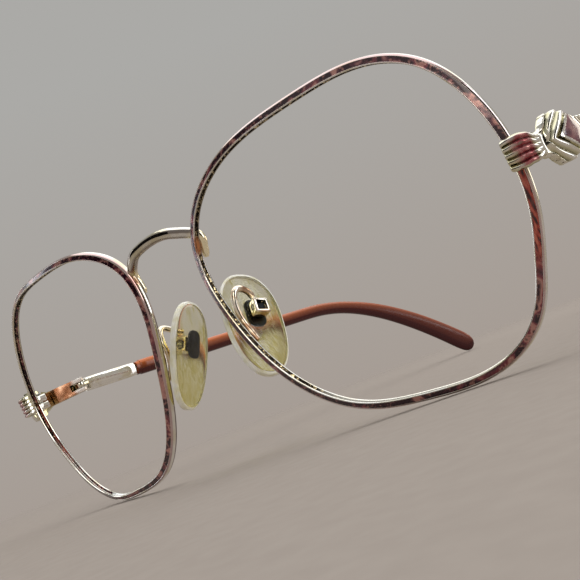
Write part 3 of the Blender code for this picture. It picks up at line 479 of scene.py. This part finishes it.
inlayLook = {
    # Mauve-brown enamel in the lozenge: a smooth glassy crown with cloudy depth.
    "colour": "#74434c",
    "shader": {"Roughness": 0.25, "Coat Weight": 0.4, "Coat Roughness": 0.05, "Metallic": 0.0},
    "patch": 1.6, "noise": {"Detail": 3.0},
    "tones": [(0.35, "#542c36"), (0.52, "#7d4a52"), (0.68, "#a0746f")],
    "grain": 0.3, "depth": 0.002, "gloss": (0.12, 0.24),
}
solderLook = {
    # Copper-coloured metal where the finish has rubbed or been soldered: warm, satin.
    "colour": "#c8906c", "shader": {"Roughness": 0.24, "Metallic": 1.0},
    "patch": 3.0, "noise": {"Detail": 2.0},
    "tones": [(0.36, "#a86c48"), (0.5, "#c8906c"), (0.64, "#e2bd9c")],
    "grain": 0.6, "depth": 0.002, "gloss": (0.28, 0.4),
    "knuckle": {"at": (61.33, -54.71, 27.65), "radius": 2.6, "soft": 1.0, "colour": "#e9dfd6"},
}
armLook = {
    # The pad arm's wire, drawn and polished: pale gold over copper where the plating has thinned.
    "colour": "#e4cfb4", "shader": {"Roughness": 0.12, "Metallic": 1.0},
    "patch": 2.5, "noise": {"Detail": 3.0},
    "tones": [(0.34, "#bd977a"), (0.44, "#ead9c0"), (0.6, "#f7efe0")],
    "grain": 0.4, "depth": 0.002, "gloss": (0.07, 0.18),
}
steelLook = {
    # Turned screw steel: grey and bright, with fine lathe marks.
    "colour": "#c3c2bd", "shader": {"Roughness": 0.22, "Metallic": 1.0},
    "patch": 0.12, "noise": {"Detail": 2.0}, "tones": [(0.4, "#94928b"), (0.6, "#cfcec9")],
    "grain": 0.12, "depth": 0.003, "gloss": (0.16, 0.34),
}
insertLook = {
    # The pad's insert: blackened metal, nearly navy through the clear plastic.
    "colour": "#06090f", "shader": {"Roughness": 0.5, "Metallic": 0.0, "Specular IOR Level": 0.15},
    "patch": 0.6, "noise": {"Detail": 3.0}, "tones": [(0.35, "#05070a"), (0.6, "#0e1520")],
    "grain": 0.3, "depth": 0.004, "gloss": (0.3, 0.5),
}
padLook = {
    # Clear soft plastic, moulded and yellowed with age: glossy, with a thin skin of grease marks.
    "colour": "#f4f0d0",
    "shader": {"Roughness": 0.05, "Metallic": 0.0, "Transmission Weight": 1.0, "IOR": 1.3,
               "Coat Weight": 0.3, "Coat Roughness": 0.02},
    "stretch": (1.0, 1.0, 0.4), "patch": 1.8, "noise": {"Detail": 2.0}, "swirl": 0.6,
    "axis": "Z", "span": (28, 14), "change": (0.0, 0.25),
    "tones": [(0.24, "#fefeec"), (0.36, "#faf8d4"), (0.42, "#d6cc70"),
              (0.47, "#f8f4c4"), (0.56, "#e6dc8c")],
    "grain": 1.5, "depth": 0.01, "gloss": (0.08, 0.17),
}
lipLook = {
    # The pad's rolled edge: slightly frosted, and near white and nearly opaque as a painted highlight along
    # the edge.
    "colour": "#fbfdec",
    "shader": {"Roughness": 0.12, "Metallic": 0.0, "Transmission Weight": 0.12, "IOR": 1.45},
    "patch": 2.0, "noise": {"Detail": 2.0}, "tones": [(0.35, "#f2edcc"), (0.6, "#fffdf4")],
    "grain": 0.8, "depth": 0.003, "gloss": (0.1, 0.25),
}
sleeveLook = {
    "colour": "#d07038",
    "shader": {"Roughness": 0.22, "Metallic": 0.0, "Coat Weight": 0.12, "Coat Roughness": 0.08,
               "IOR": 1.45, "Specular IOR Level": 0.3},
    "stretch": (1.0, 0.3, 1.0), "patch": 9.0, "swirl": 0.25,
    "noise": {"Detail": 2.0, "Roughness": 0.5, "Distortion": 0.6},
    "axis": "Y", "span": (-42, 80), "change": (-0.12, 0.88),
    "tones": [(0.03, "#c96a30"), (0.13, "#d07038"), (0.9, "#985640")],
    "grain": 0.5, "depth": 0.004, "gloss": (0.16, 0.32),
    # Painted shade on the underside, by how far the surface faces up.
    "dark": "#3a1016", "darkFrom": 0.42, "darkTo": -0.2, "darkShare": 0.95,
}


def makeSolderMetal():
    made, tree, shader, place, tone = startMaterial("copper-toned solder metal", solderLook)
    knuckle = addSpot(tree, place, solderLook["knuckle"])
    colour = addNode(tree, "Mix", {"data_type": "RGBA", mixTo: solderLook["knuckle"]["colour"]},
                     [(0, knuckle), (mixFrom, tone)])
    tree.links.new(colour.outputs[mixResult], shader.inputs["Base Color"])
    return made


def makeSleevePlastic():
    # Brown cellulose plastic, moulded and tumbled: glossy, orange-brown with darker swirls, and painted
    # shade on its underside.
    look = sleeveLook
    made, tree, shader, place, tone = startMaterial("tumbled brown plastic", look)
    split = addNode(tree, "SeparateXYZ", {}, [("Vector", place, "Normal")])
    # Painted shade: darker where the surface faces down.
    under = addNode(tree, "MapRange", {"From Min": look["darkFrom"], "From Max": look["darkTo"],
                                       "To Max": look["darkShare"]}, [("Value", split, "Z")])
    colour = addNode(tree, "Mix", {"data_type": "RGBA", mixTo: look["dark"]}, [(0, under), (mixFrom, tone)])
    tree.links.new(colour.outputs[mixResult], shader.inputs["Base Color"])
    return made


silver = startSilver("buffed nickel silver")[0]
ornamentSilver = makeOrnamentSilver()
bridgeSilver = makeBridgeSilver()
wireSilver = makeWireSilver()
grooveMetal = makeGroove()
rimEnamel = makeRimEnamel()
inlayEnamel = startMaterial("mauve lozenge enamel", inlayLook)[0]
solderMetal = makeSolderMetal()
armMetal = startMaterial("drawn gold-toned wire", armLook)[0]
screwSteel = startMaterial("turned screw steel", steelLook)[0]
insertMetal = startMaterial("blackened insert metal", insertLook)[0]
sleevePlastic = makeSleevePlastic()
clearPad = startMaterial("yellowed clear pad plastic", padLook)[0]
padLip = startMaterial("frosted pad edge painted bright", lipLook)[0]
print("materials made")


# Rims: the CAD wire made round-edged, with an enamelled channel along its front

rimMaterials = [wireSilver, rimEnamel, grooveMetal]
rimShape = {
    "shoulder": 0.38, "shoulderSteps": 4, "border": 0.04, "wall": 0.025, "sink": 0.035,
    "sharp": 28, "crease": 0.7,
    # How far a normal points some way for its face to lean, face or lie square to it.
    "lean": 0.3, "face": 0.5, "square": 0.8, "outside": 0.05,
    # Lengths in mm and areas in square mm that tell the narrow parts of the mesh from the wide.
    "narrow": 0.45, "grooveArea": 0.7, "flatArea": 0.8,
}


def assignMaterial(piece, material):
    piece.active_material_index = rimMaterials.index(material)
    bpy.ops.object.material_slot_assign()


def makeRim(side):
    s = rimShape
    nodeName = "rim_" + side
    rim = copyOfNode(nodeName, "rim_wire_" + side)
    faces, points = rim.data.polygons, rim.data.vertices
    low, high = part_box(nodeName)
    middle = (low + high) / 2
    rim.data.materials.clear()
    for material in rimMaterials:
        rim.data.materials.append(material)
    for face in faces:
        face.material_index = 0

    def outward(face):
        return (face.center - middle).normalized().dot(face.normal)

    def inGroove(face):
        tipped = abs(face.normal.dot(frontWay))
        return (outward(face) < -s["lean"] and tipped > s["lean"]
                and face.area > s["grooveArea"] * mm * mm)

    def edgesOf(chosen):
        return {key for face in chosen for key in face.edge_keys}

    # The narrow bevels on the outer edges are closed up and made broad round shoulders.
    for way in (frontWay, -frontWay):
        keys = edgesOf(face for face in faces
                       if outward(face) > s["lean"] and face.normal.dot(way) > s["lean"])
        editOnly(rim, "EDGE", lambda edge: edge.key in keys
                 and (points[edge.key[0]].co - points[edge.key[1]].co).length < s["narrow"] * mm)
        bpy.ops.mesh.merge(type="COLLAPSE")
        leaveEdit()
        facing = edgesOf(face for face in faces if face.normal.dot(way) > s["square"])
        outer = edgesOf(face for face in faces if outward(face) > s["square"])
        editOnly(rim, "EDGE", lambda edge: edge.key in facing and edge.key in outer)
        bpy.ops.mesh.bevel(offset=s["shoulder"] * mm, segments=s["shoulderSteps"], profile=0.5,
                           affect="EDGES")
        leaveEdit()
    editOnly(rim, "FACE", inGroove)
    assignMaterial(rim, grooveMetal)
    leaveEdit()
    # The enamel covers the flat front and the first strip of the shoulder beside it.
    flat = [face for face in faces
            if face.normal.dot(frontWay) > s["square"] and face.area > s["flatArea"] * mm * mm]
    channel = {face.index for face in flat}
    keys = edgesOf(flat)
    channel |= {face.index for face in faces
                if outward(face) > s["outside"] and face.normal.dot(frontWay) > s["face"]
                and face.area < s["flatArea"] * mm * mm and keys.intersection(face.edge_keys)}
    editOnly(rim, "FACE", lambda face: face.index in channel)
    bpy.ops.mesh.inset(thickness=s["border"] * mm, depth=0)
    bpy.ops.mesh.inset(thickness=s["wall"] * mm, depth=-s["sink"] * mm)
    assignMaterial(rim, rimEnamel)
    leaveEdit()
    creaseSharp(rim, s["sharp"], s["crease"])
    roundForm(rim)
    dress(rim, rimMaterials, "front", nodeName)


for side in sides:
    makeRim(side)
print("rims made")


# Bridge: one wire bent to the arch, with its feet soldered behind the rims

bridgeShape = {
    # Half the centre line from the crown to a foot's end, and the wire's radius there.
    "half": [((0, 1.25, 16.64), 0.94), ((2.55, 1.05, 16.42), 0.93), ((4.4, 0.86, 15.98), 0.92),
             ((6.0, 1.32, 15.3), 0.92), ((7.45, 2.0, 14.55), 0.9), ((8.55, 2.6, 13.75), 0.86),
             ((8.8, 2.9, 12.7), 0.8), ((8.5, 2.95, 11.5), 0.7), ((8.25, 2.9, 10.3), 0.6),
             ((8.15, 2.86, 9.75), 0.35)],
    "roundness": 6, "steps": 8, "shade": 60,
}


def makeBridge():
    s = bridgeShape
    whole = [((-x, y, z), radius) for (x, y, z), radius in s["half"][:0:-1]] + s["half"]
    clearSelection()
    bpy.ops.curve.primitive_bezier_curve_add(location=(0, 0, 0))
    bar = bpy.context.object
    bar.name = "bridge_bar"
    spline = bar.data.splines[0]
    spline.bezier_points.add(len(whole) - 2)
    for point, (place, radius) in zip(spline.bezier_points, whole):
        point.co = place
        point.radius = radius
        point.handle_left_type = point.handle_right_type = "AUTO"
    spline.radius_interpolation = "CARDINAL"
    bar.data.dimensions = "3D"
    bar.data.bevel_depth = 1
    bar.data.bevel_resolution = s["roundness"]
    bar.data.resolution_u = s["steps"]
    bar.data.use_fill_caps = True
    bpy.ops.object.convert(target="MESH")
    bar.data.name = "bridge_bar"
    placeOnStand(bar, s["shade"])
    dress(bar, [bridgeSilver], "front", "bridge")


makeBridge()
print("bridge made")


# End pieces: one struck strap with a ribbed band, a neck and a fluted lozenge, drawn flat and
# then bent round the corner

bandEnd, neckAt = 3.5, 3.85  # mm along the strap, as are the first numbers of the pairs below
endShape = {
    "thickness": 1.0, "height": 1.3, "ribs": 5, "ribLift": 0.36, "ribRub": 0.3, "plate": 0.28, "roll": 0.3,
    "outline": [(0, 1.98), (0.3, 2.1), (1.2, 2.25), (2.1, 2.25), (2.9, 2.05), (3.4, 1.7), (3.65, 1.5),
                (3.85, 1.45), (4.2, 1.65), (5.0, 2.45), (5.7, 3.0), (5.95, 3.3), (6.4, 3.38), (7.5, 3.38),
                (8.3, 3.27), (9.0, 2.94), (10.0, 2.38), (11.7, 1.75), (40, 1.75)],
    "lift": [(0, 0.5), (0.7 * bandEnd, 0.425), (neckAt, 0)],
    "ribFade": [(0, 0.6), (0.3, 1), (0.82 * bandEnd, 1), (neckAt, 0)],
    "enamelFade": [(0.5, 0), (2.0, 1), (2.8, 1), (3.3, 0)],
    "enamelSide": [(0.84, 1), (0.93, 0)],  # by the share of the half height
    "plateFade": [(neckAt + 0.2, 0), (neckAt + 1.2, 1)],
    "back": [(0, 0.28), (1.9, 0.28), (2.3, 0)],  # extra thickness behind, beside the rim
    "lozengeAt": 9.9, "alongHalf": 3.05, "upHalf": 2.75, "border": 0.4, "floor": 0.35,
    "flutes": 3, "fluteAlong": 1.85, "fluteUp": 1.65, "fluteLift": 0.5,
    "scallop": 0.14, "scallopFrom": 6.2, "scallopMean": 0.6,
    "plateBack": 0.5, "plateBackPast": 2.5, "plateBackUp": 1.8, "backRecess": 0.45,
    # The mesh's columns are closer over the ornament, and its rows along the edges.
    "columns": 300, "rows": 76, "closeTo": 16.0, "closeShare": 0.86, "rowEase": 0.35, "shade": 50,
}
inlayShape = {"crown": 0.1, "sunk": 0.03, "overlap": 0.01, "bed": 0.02, "cuts": 12, "shade": 50}
strapShape = {
    "start": (58.13, 6.99),  # the rim's temple point, and from there the strap's back in plan
    "corners": [(-0.7, -1.22), (1.15, -1.22), (2.4, -0.5), (3.0, 1.3), (4.1, 3.6), (4.65, 6.3),
                (4.8, 9.6), (4.8, 17.4)],
    "steps": 40,
}

# The enamel's size as a share of the lozenge's, which leaves the border round it.
inlayShare = 1 - endShape["border"] * math.hypot(endShape["alongHalf"], endShape["upHalf"]) / (
    endShape["alongHalf"] * endShape["upHalf"])
fluteTop = endShape["thickness"] + endShape["plate"] + endShape["fluteLift"]


def readBetween(pairs, where):
    # The value at this place, half straight and half eased between the pairs.
    if where <= pairs[0][0]:
        return pairs[0][1]
    for (a, low), (b, high) in zip(pairs, pairs[1:]):
        if where <= b:
            share = (where - a) / (b - a)
            share = share * share * (3 - 2 * share) * 0.5 + share * 0.5
            return low + (high - low) * share
    return pairs[-1][1]


def fluteRing(x, y):
    # 1 on the lozenge's edge, and one more for each flute outside it. The rings are lozenges that
    # grow by a flute's pitch along and up, so the number at a point comes from a quadratic.
    s = endShape
    dx, dy = abs(x - s["lozengeAt"]), abs(y)
    a, b, fa, fb = s["alongHalf"], s["upHalf"], s["fluteAlong"], s["fluteUp"]
    if dx / a + dy / b <= 1:
        return dx / a + dy / b
    p = fa * fb
    q = a * fb + b * fa - dx * fb - dy * fa
    r = a * b - dx * b - dy * a
    return 1 + (-q + math.sqrt(max(0, q * q - 4 * p * r))) / (2 * p)


def rollOff(distance, radius):
    # How far a rounded edge of this radius lies under the face, this far in from the edge.
    inside = max(0.0, radius - max(distance, 0))
    return radius - math.sqrt(max(0.0, radius * radius - inside * inside))


def endHeight(x, y, half, slope):
    # Height of the face over the strap's back, how deep it lies in a valley, and its enamel.
    s = endShape
    high, recess, enamel = s["thickness"], 0.0, 0.0
    if x < neckAt:
        share = (y / half + 1) / 2
        wave = abs(math.sin(math.pi * s["ribs"] * share))
        fade = readBetween(s["ribFade"], x)
        high += s["ribLift"] * wave * fade
        recess = (1 - wave) * fade
        enamel = readBetween(s["enamelFade"], x) * readBetween(s["enamelSide"], abs(y) / half)
        enamel *= 1 - s["ribRub"] * wave
    ring = fluteRing(x, y)
    fanEnd = s["lozengeAt"] + s["alongHalf"] + s["flutes"] * s["fluteAlong"]
    if neckAt < x <= fanEnd and ring < 1 + s["flutes"]:
        flute = 1.0 if ring < 1 else abs(math.sin(math.pi * (ring - 1)))
        plate = s["thickness"] + s["plate"] + s["fluteLift"] * flute
        if ring < inlayShare:
            plate -= s["floor"]
        start = readBetween(s["plateFade"], x)
        high = high * (1 - start) + plate * start
        recess = max(recess, (1 - flute) * start)
    edge = (half - abs(y)) / math.sqrt(1 + slope * slope)
    high -= rollOff(min(edge, x, endLength - x), s["roll"])
    return high, min(1.0, recess), enamel


def strapCurve():
    clearSelection()
    bpy.ops.curve.primitive_bezier_curve_add(location=(0, 0, 0))
    line = bpy.context.object
    line.name = "strap_line"
    spline = line.data.splines[0]
    spline.bezier_points.add(len(strapShape["corners"]) - 2)
    for point, (x, y) in zip(spline.bezier_points, strapShape["corners"]):
        point.co = (strapShape["start"][0] + x, strapShape["start"][1] + y, 0)
        point.handle_left_type = point.handle_right_type = "AUTO"
    line.data.dimensions = "3D"
    line.data.twist_mode = "Z_UP"
    line.data.resolution_u = strapShape["steps"]
    return line


strapLine = strapCurve()
endLength = strapLine.data.splines[0].calc_length()


def bendOnStrap(piece, degrees):
    pointOutwards(piece)
    modify(piece, "CURVE", object=strapLine, deform_axis="POS_X")
    placeOnStand(piece, degrees)
    return piece


def makeEndPiece():
    s = endShape
    clearSelection()
    bpy.ops.mesh.primitive_grid_add(x_subdivisions=s["columns"], y_subdivisions=s["rows"], size=2,
                                    location=(0, 0, 0))
    piece = bpy.context.object
    piece.name = "end_piece_left_struck"
    mesh = piece.data
    recessed = mesh.attributes.new("recess", "FLOAT", "POINT")
    enamelled = mesh.attributes.new("enamel", "FLOAT", "POINT")
    closeTo, closeShare = s["closeTo"], s["closeShare"]
    step = 0.02
    for i, vert in enumerate(mesh.vertices):
        along = (vert.co.x + 1) / 2
        if along < closeShare:
            x = closeTo * along / closeShare
        else:
            x = closeTo + (endLength - closeTo) * (along - closeShare) / (1 - closeShare)
        share = math.sin(vert.co.y * math.pi / 2) * s["rowEase"] + vert.co.y * (1 - s["rowEase"])
        half = readBetween(s["outline"], x)
        slope = (readBetween(s["outline"], x + step) - half) / step
        if s["scallopFrom"] < x < s["lozengeAt"]:
            wave = abs(math.sin(math.pi * (fluteRing(x, half) - 1)))
            half += s["scallop"] * (wave - s["scallopMean"])
        y = share * half
        high, recess, enamel = endHeight(x, y, half, slope)
        vert.co = (x, -high, y + s["height"] + readBetween(s["lift"], x))
        recessed.data[i].value = recess
        enamelled.data[i].value = enamel
    editAll(piece)
    bpy.ops.mesh.extrude_region_move()
    leaveEdit()
    for i, vert in enumerate(mesh.vertices):
        if vert.select:
            x, up = vert.co.x, abs(vert.co.z - s["height"])
            onPlate = neckAt < x < s["lozengeAt"] + s["plateBackPast"] and up > s["plateBackUp"]
            vert.co.y = readBetween(s["back"], x) - (s["plateBack"] if onPlate else 0)
            # This middling recess value gives the back a good share of the warm tint painted as a
            # reflection in the hollows.
            mesh.attributes["recess"].data[i].value = s["backRecess"]
            mesh.attributes["enamel"].data[i].value = 0
    return bendOnStrap(piece, s["shade"])


def makeInlay():
    # The lozenge's enamel: a low crown, made from a four-sided disc.
    s = endShape
    clearSelection()
    bpy.ops.mesh.primitive_circle_add(vertices=4, radius=1, fill_type="NGON", location=(0, 0, 0))
    inlay = bpy.context.object
    inlay.name = "lozenge_enamel_left"
    editAll(inlay)
    bpy.ops.mesh.poke()
    bpy.ops.mesh.subdivide(number_cuts=inlayShape["cuts"])
    leaveEdit()
    trim = inlayShare + inlayShape["overlap"]
    for vert in inlay.data.vertices:
        x, y = vert.co.x, vert.co.y
        ring = abs(x) + abs(y)
        high = fluteTop + inlayShape["crown"] * (1 - ring**3) - inlayShape["sunk"]
        vert.co = (s["lozengeAt"] + x * s["alongHalf"] * trim, -high, s["height"] + y * s["upHalf"] * trim)
    editAll(inlay)
    bpy.ops.mesh.extrude_region_move()
    leaveEdit()
    for vert in inlay.data.vertices:
        if vert.select:
            vert.co.y = -(fluteTop - s["floor"] - inlayShape["bed"])
    return bendOnStrap(inlay, inlayShape["shade"])


endPiece = makeEndPiece()
inlay = makeInlay()
otherEnd = mirroredCopy(endPiece, "end_piece_right_struck")
otherInlay = mirroredCopy(inlay, "lozenge_enamel_right")
for side, end, enamel in (("left", endPiece, inlay), ("right", otherEnd, otherInlay)):
    dress(end, [ornamentSilver], "front", "end_piece_" + side)
    dress(enamel, [inlayEnamel], "front", "lozenge_" + side)
bpy.data.objects.remove(strapLine, do_unlink=True)
print("end pieces made")


# Hinges, closing blocks, pad boxes and pins: the CAD shapes with broken edges

insertCorner = {"shortest": 0.55, "longest": 0.7, "upright": 0.95, "radius": 1.3, "steps": 5}


def roundInsert(piece):
    # The plate's short corner edges, which run across its thickness, get a wide radius.
    s = insertCorner
    across = max(piece.data.polygons, key=lambda face: face.area).normal.copy()
    points = piece.data.vertices

    def isCorner(edge):
        run = points[edge.vertices[1]].co - points[edge.vertices[0]].co
        fits = s["shortest"] * mm < run.length < s["longest"] * mm
        return fits and abs(run.normalized().dot(across)) > s["upright"]

    editOnly(piece, "EDGE", isCorner)
    bpy.ops.mesh.bevel(offset=s["radius"] * mm, segments=s["steps"], affect="EDGES", clamp_overlap=True)
    leaveEdit()


hardware = [
    # node, width of the broken edge, material, body, slot
    ("closing_block_upper", 0.1, silver, "front", "nickel_silver"),
    ("closing_block_lower", 0.1, silver, "front", "nickel_silver"),
    ("rim_screw", 0.06, screwSteel, "front", "screw_steel"),
    ("hinge_front", 0.12, solderMetal, "front", "solder_metal"),
    ("hinge_screw", 0.06, screwSteel, "front", "screw_steel"),
    ("hinge_temple", 0.14, silver, "temple_", "nickel_silver"),
    ("pad_box", 0.1, armMetal, "front", "solder_metal"),
    ("pad_pin", 0.06, screwSteel, "front", "screw_steel"),
    ("pad_insert", 0.1, insertMetal, "pad_", "pad_insert_metal"),
]
for node, width, material, body, slot in hardware:
    for side in sides:
        piece = copyOfNode(node + "_" + side, node + "_finished_" + side, quads=False)
        if node == "pad_insert":
            roundInsert(piece)
        breakEdges(piece, width)
        dress(piece, [material], onSide(body, side), node + "_" + side)
print("hardware made")


# Temples, sleeves and pad arms: the CAD lofts made smooth

smoothParts = [
    # node, sharp edges kept above this angle, how firmly, growth in mm, material, body, slot
    ("temple", 40, 0.7, 0, silver, "temple_", "nickel_silver"),
    ("temple_sleeve", 50, 0.5, 0, sleevePlastic, "temple_", "temple_plastic"),
    ("pad_arm", 60, 0.6, 0.07, armMetal, "front", "nickel_silver"),
]
for node, angle, firmness, growth, material, body, slot in smoothParts:
    for side in sides:
        piece = copyOfNode(node + "_" + side, node + "_finished_" + side)
        creaseSharp(piece, angle, firmness)
        if growth:
            editAll(piece)
            bpy.ops.transform.shrink_fatten(value=growth * mm)
            leaveEdit()
        roundForm(piece)
        dress(piece, [material], onSide(body, side), node + "_" + side)
print("temples and arms made")


# Nose pads: a moulded clear drop with a crowned face and a rolled lip

padShape = {
    "centre": (8.55, 6.0, -3.3), "long": (0.198, -0.433, -0.877), "face": (-0.935, 0.18, -0.30),
    "length": 19.3, "width": 10.8, "taper": 0.1, "crown": 1.15, "back": 0.6,
    "fullness": 0.86, "flat": 0.32, "lip": 0.955, "fill": 0.9,
    "segments": 64, "rings": 40, "shade": 80,
}


def makePad():
    s = padShape
    long = Vector(s["long"]).normalized()
    facing = Vector(s["face"]).normalized()
    facing = (facing - long * facing.dot(long)).normalized()
    wide = facing.cross(long)
    turn = Matrix.Translation(Vector(s["centre"])) @ Matrix((long, wide, facing)).transposed().to_4x4()
    clearSelection()
    bpy.ops.mesh.primitive_uv_sphere_add(segments=s["segments"], ring_count=s["rings"], radius=1,
                                         location=(0, 0, 0))
    pad = bpy.context.object
    pad.name = "nose_pad_left_moulded"
    for material in (clearPad, padLip):
        pad.data.materials.append(material)
    for face in pad.data.polygons:
        # Faces out at the edge take the lip material, partly frosting and partly a painted highlight.
        face.material_index = int(math.hypot(face.center.x, face.center.y) > s["lip"])
    for vert in pad.data.vertices:
        x, y, z = vert.co
        reach = max(math.hypot(x, y), 1e-9)
        x = reach * math.copysign(abs(x / reach)**s["fullness"], x)
        y = reach * math.copysign(abs(y / reach)**s["fullness"], y)
        slim = 1 - s["taper"] * x
        depth = s["crown"] if z > 0 else s["back"]
        level = math.copysign(abs(z)**s["flat"], z) * depth
        vert.co = (x * s["length"] / 2, y * slim * s["width"] / 2, level)
    pad.data.transform(turn)
    placeOnStand(pad, s["shade"])
    return pad


leftPad = makePad()
rightPad = mirroredCopy(leftPad, "nose_pad_right_moulded")
for side, pad in (("left", leftPad), ("right", rightPad)):
    dress(pad, [clearPad, padLip], "pad_" + side, "nose_pad_" + side)
print("pads made")


# Floor, world, lights and camera

floorLook = {
    "colour": "#a69c93", "shader": {"Roughness": 0.9, "Specular IOR Level": 0.0},
    "patch": 2.5, "noise": {"Detail": 2.0}, "tones": [(0.3, "#a49a91"), (0.7, "#a89e95")],
    "radius": 0.9, "level": -0.0001, "fadeFrom": 0.12, "fadeTo": 0.4,
}
worldLook = {"low": "#a69c94", "high": "#abaaa7", "lowAt": -0.05, "highAt": 0.45,
             "light": "#f2f3f5", "strength": 0.4}


def makeFloor():
    # Matt paper, which fades into the world away from the object.
    look = floorLook
    clearSelection()
    bpy.ops.mesh.primitive_circle_add(vertices=96, radius=look["radius"], fill_type="NGON",
                                      location=(0, 0, look["level"]))
    floor = bpy.context.object
    floor.name = "floor"
    made, tree, shader, place, tone = startMaterial("matt pale paper", look)
    far = addNode(tree, "VectorMath", {"operation": "LENGTH"}, [(0, place, "Object")])
    fade = addNode(tree, "MapRange", {"From Min": look["fadeFrom"], "From Max": look["fadeTo"],
                                      "interpolation_type": "SMOOTHSTEP"}, [("Value", far, "Value")])
    clear = addNode(tree, "BsdfTransparent")
    mix = addNode(tree, "MixShader", {}, [(0, fade), (1, shader), (2, clear)])
    tree.links.new(mix.outputs[0], tree.nodes["Material Output"].inputs["Surface"])
    floor.data.materials.append(made)


def makeWorld():
    # The backdrop is seen directly, in metal and through the pads. The light is set apart from it.
    look = worldLook
    world = bpy.data.worlds.new("soft studio")
    bpy.context.scene.world = world
    world.use_nodes = True
    tree = world.node_tree
    ray = addNode(tree, "LightPath")
    seen = addNode(tree, "Math", {"operation": "MAXIMUM"},
                   [(0, ray, "Is Camera Ray"), (1, ray, "Is Glossy Ray")])
    seen = addNode(tree, "Math", {"operation": "MAXIMUM"}, [(0, seen), (1, ray, "Is Transmission Ray")])
    way = addNode(tree, "TexCoord")
    split = addNode(tree, "SeparateXYZ", {}, [("Vector", way, "Generated")])
    height = addNode(tree, "MapRange", {"From Min": look["lowAt"], "From Max": look["highAt"]},
                     [("Value", split, "Z")])
    tone = addNode(tree, "Mix", {"data_type": "RGBA", mixFrom: look["low"], mixTo: look["high"]},
                   [(0, height)])
    light = [c * look["strength"] for c in toLinear(look["light"])[:3]] + [1]
    colour = addNode(tree, "Mix", {"data_type": "RGBA", mixFrom: light},
                     [(0, seen), (mixTo, tone, mixResult)])
    tree.links.new(colour.outputs[mixResult], tree.nodes["Background"].inputs["Color"])


lamps = [
    # name, place, target, size, watts, colour
    ("overhead softbox", (0.0, 0.14, 0.6), (0, -0.03, 0.0), (1.0, 1.0), 4.0, "#ffffff"),
    ("right strip", (0.52, 0.115, 0.2), (0, -0.03, 0.02), (0.16, 0.38), 0.6, "#f4f8ff"),
    ("back strip", (0.22, 0.46, 0.1), (0, -0.03, 0.02), (0.16, 0.14), 0.16, "#fff6e6"),
    ("front fill", (0.5, -0.55, 0.4), (0, -0.05, 0.02), (0.16, 0.5), 0.8, "#fff8ee"),
    ("side strip", (-0.6, -0.2, 0.25), (0.0, -0.03, 0.02), (0.12, 0.5), 0.4, "#f2f6ff"),
]


def turnTowards(place, target):
    return (Vector(target) - Vector(place)).to_track_quat("-Z", "Y").to_euler()


def makeLamps():
    for name, place, target, size, watts, colour in lamps:
        clearSelection()
        bpy.ops.object.light_add(type="AREA", location=place)
        lamp = bpy.context.object
        lamp.name = name
        lamp.data.shape = "RECTANGLE"
        lamp.data.size, lamp.data.size_y = size
        lamp.data.energy = watts
        lamp.data.color = toLinear(colour)[:3]
        lamp.rotation_euler = turnTowards(place, target)


feltLook = {
    "colour": "#0c0b0b", "shader": {"Roughness": 0.95},
    "patch": 4.0, "noise": {}, "tones": [(0.3, "#080707"), (0.7, "#11100f")],
}
flags = [
    # Dark cards out of the camera's sight, which give the metal its dark reflections:
    # name, place, target, size
    ("front_flag", (-0.47, -0.58, 0.3), (0, 0, 0.02), (0.9, 0.6)),
    ("right_flag", (0.75, -0.25, 0.25), (0, 0, 0.02), (0.42, 0.6)),
]


def makeFlags():
    felt = startMaterial("black felt", feltLook)[0]
    for name, place, target, size in flags:
        clearSelection()
        bpy.ops.mesh.primitive_plane_add(size=1, location=place)
        card = bpy.context.object
        card.name = name
        card.scale = (size[0], size[1], 1)
        card.rotation_euler = turnTowards(place, target)
        bpy.ops.object.transform_apply(location=True, rotation=True, scale=True)
        card.data.materials.append(felt)
        card.visible_camera = False
        card.visible_shadow = False
        card.visible_diffuse = False
        card.visible_transmission = False


cameraView = {"place": (0.087588, -0.163335, 0.008156), "right": (0.7205, 0.5954, -0.3556),
              "down": (-0.3588, -0.1189, -0.9258), "forward": (-0.5935, 0.7946, 0.1279),
              "lens": 46.59, "sensor": 36, "nearest": 0.005}


def makeCamera():
    clearSelection()
    bpy.ops.object.camera_add(location=cameraView["place"])
    camera = bpy.context.object
    right, down, forward = (Vector(cameraView[k]) for k in ("right", "down", "forward"))
    turn = Matrix((right, -down, -forward)).transposed().to_4x4()
    camera.matrix_world = Matrix.Translation(Vector(cameraView["place"])) @ turn
    camera.data.sensor_width = cameraView["sensor"]
    camera.data.lens = cameraView["lens"]
    camera.data.clip_start = cameraView["nearest"]
    bpy.context.scene.camera = camera


makeFloor()
makeWorld()
makeLamps()
makeFlags()
makeCamera()
bpy.context.scene.view_settings.view_transform = "Standard"
print("stage made")
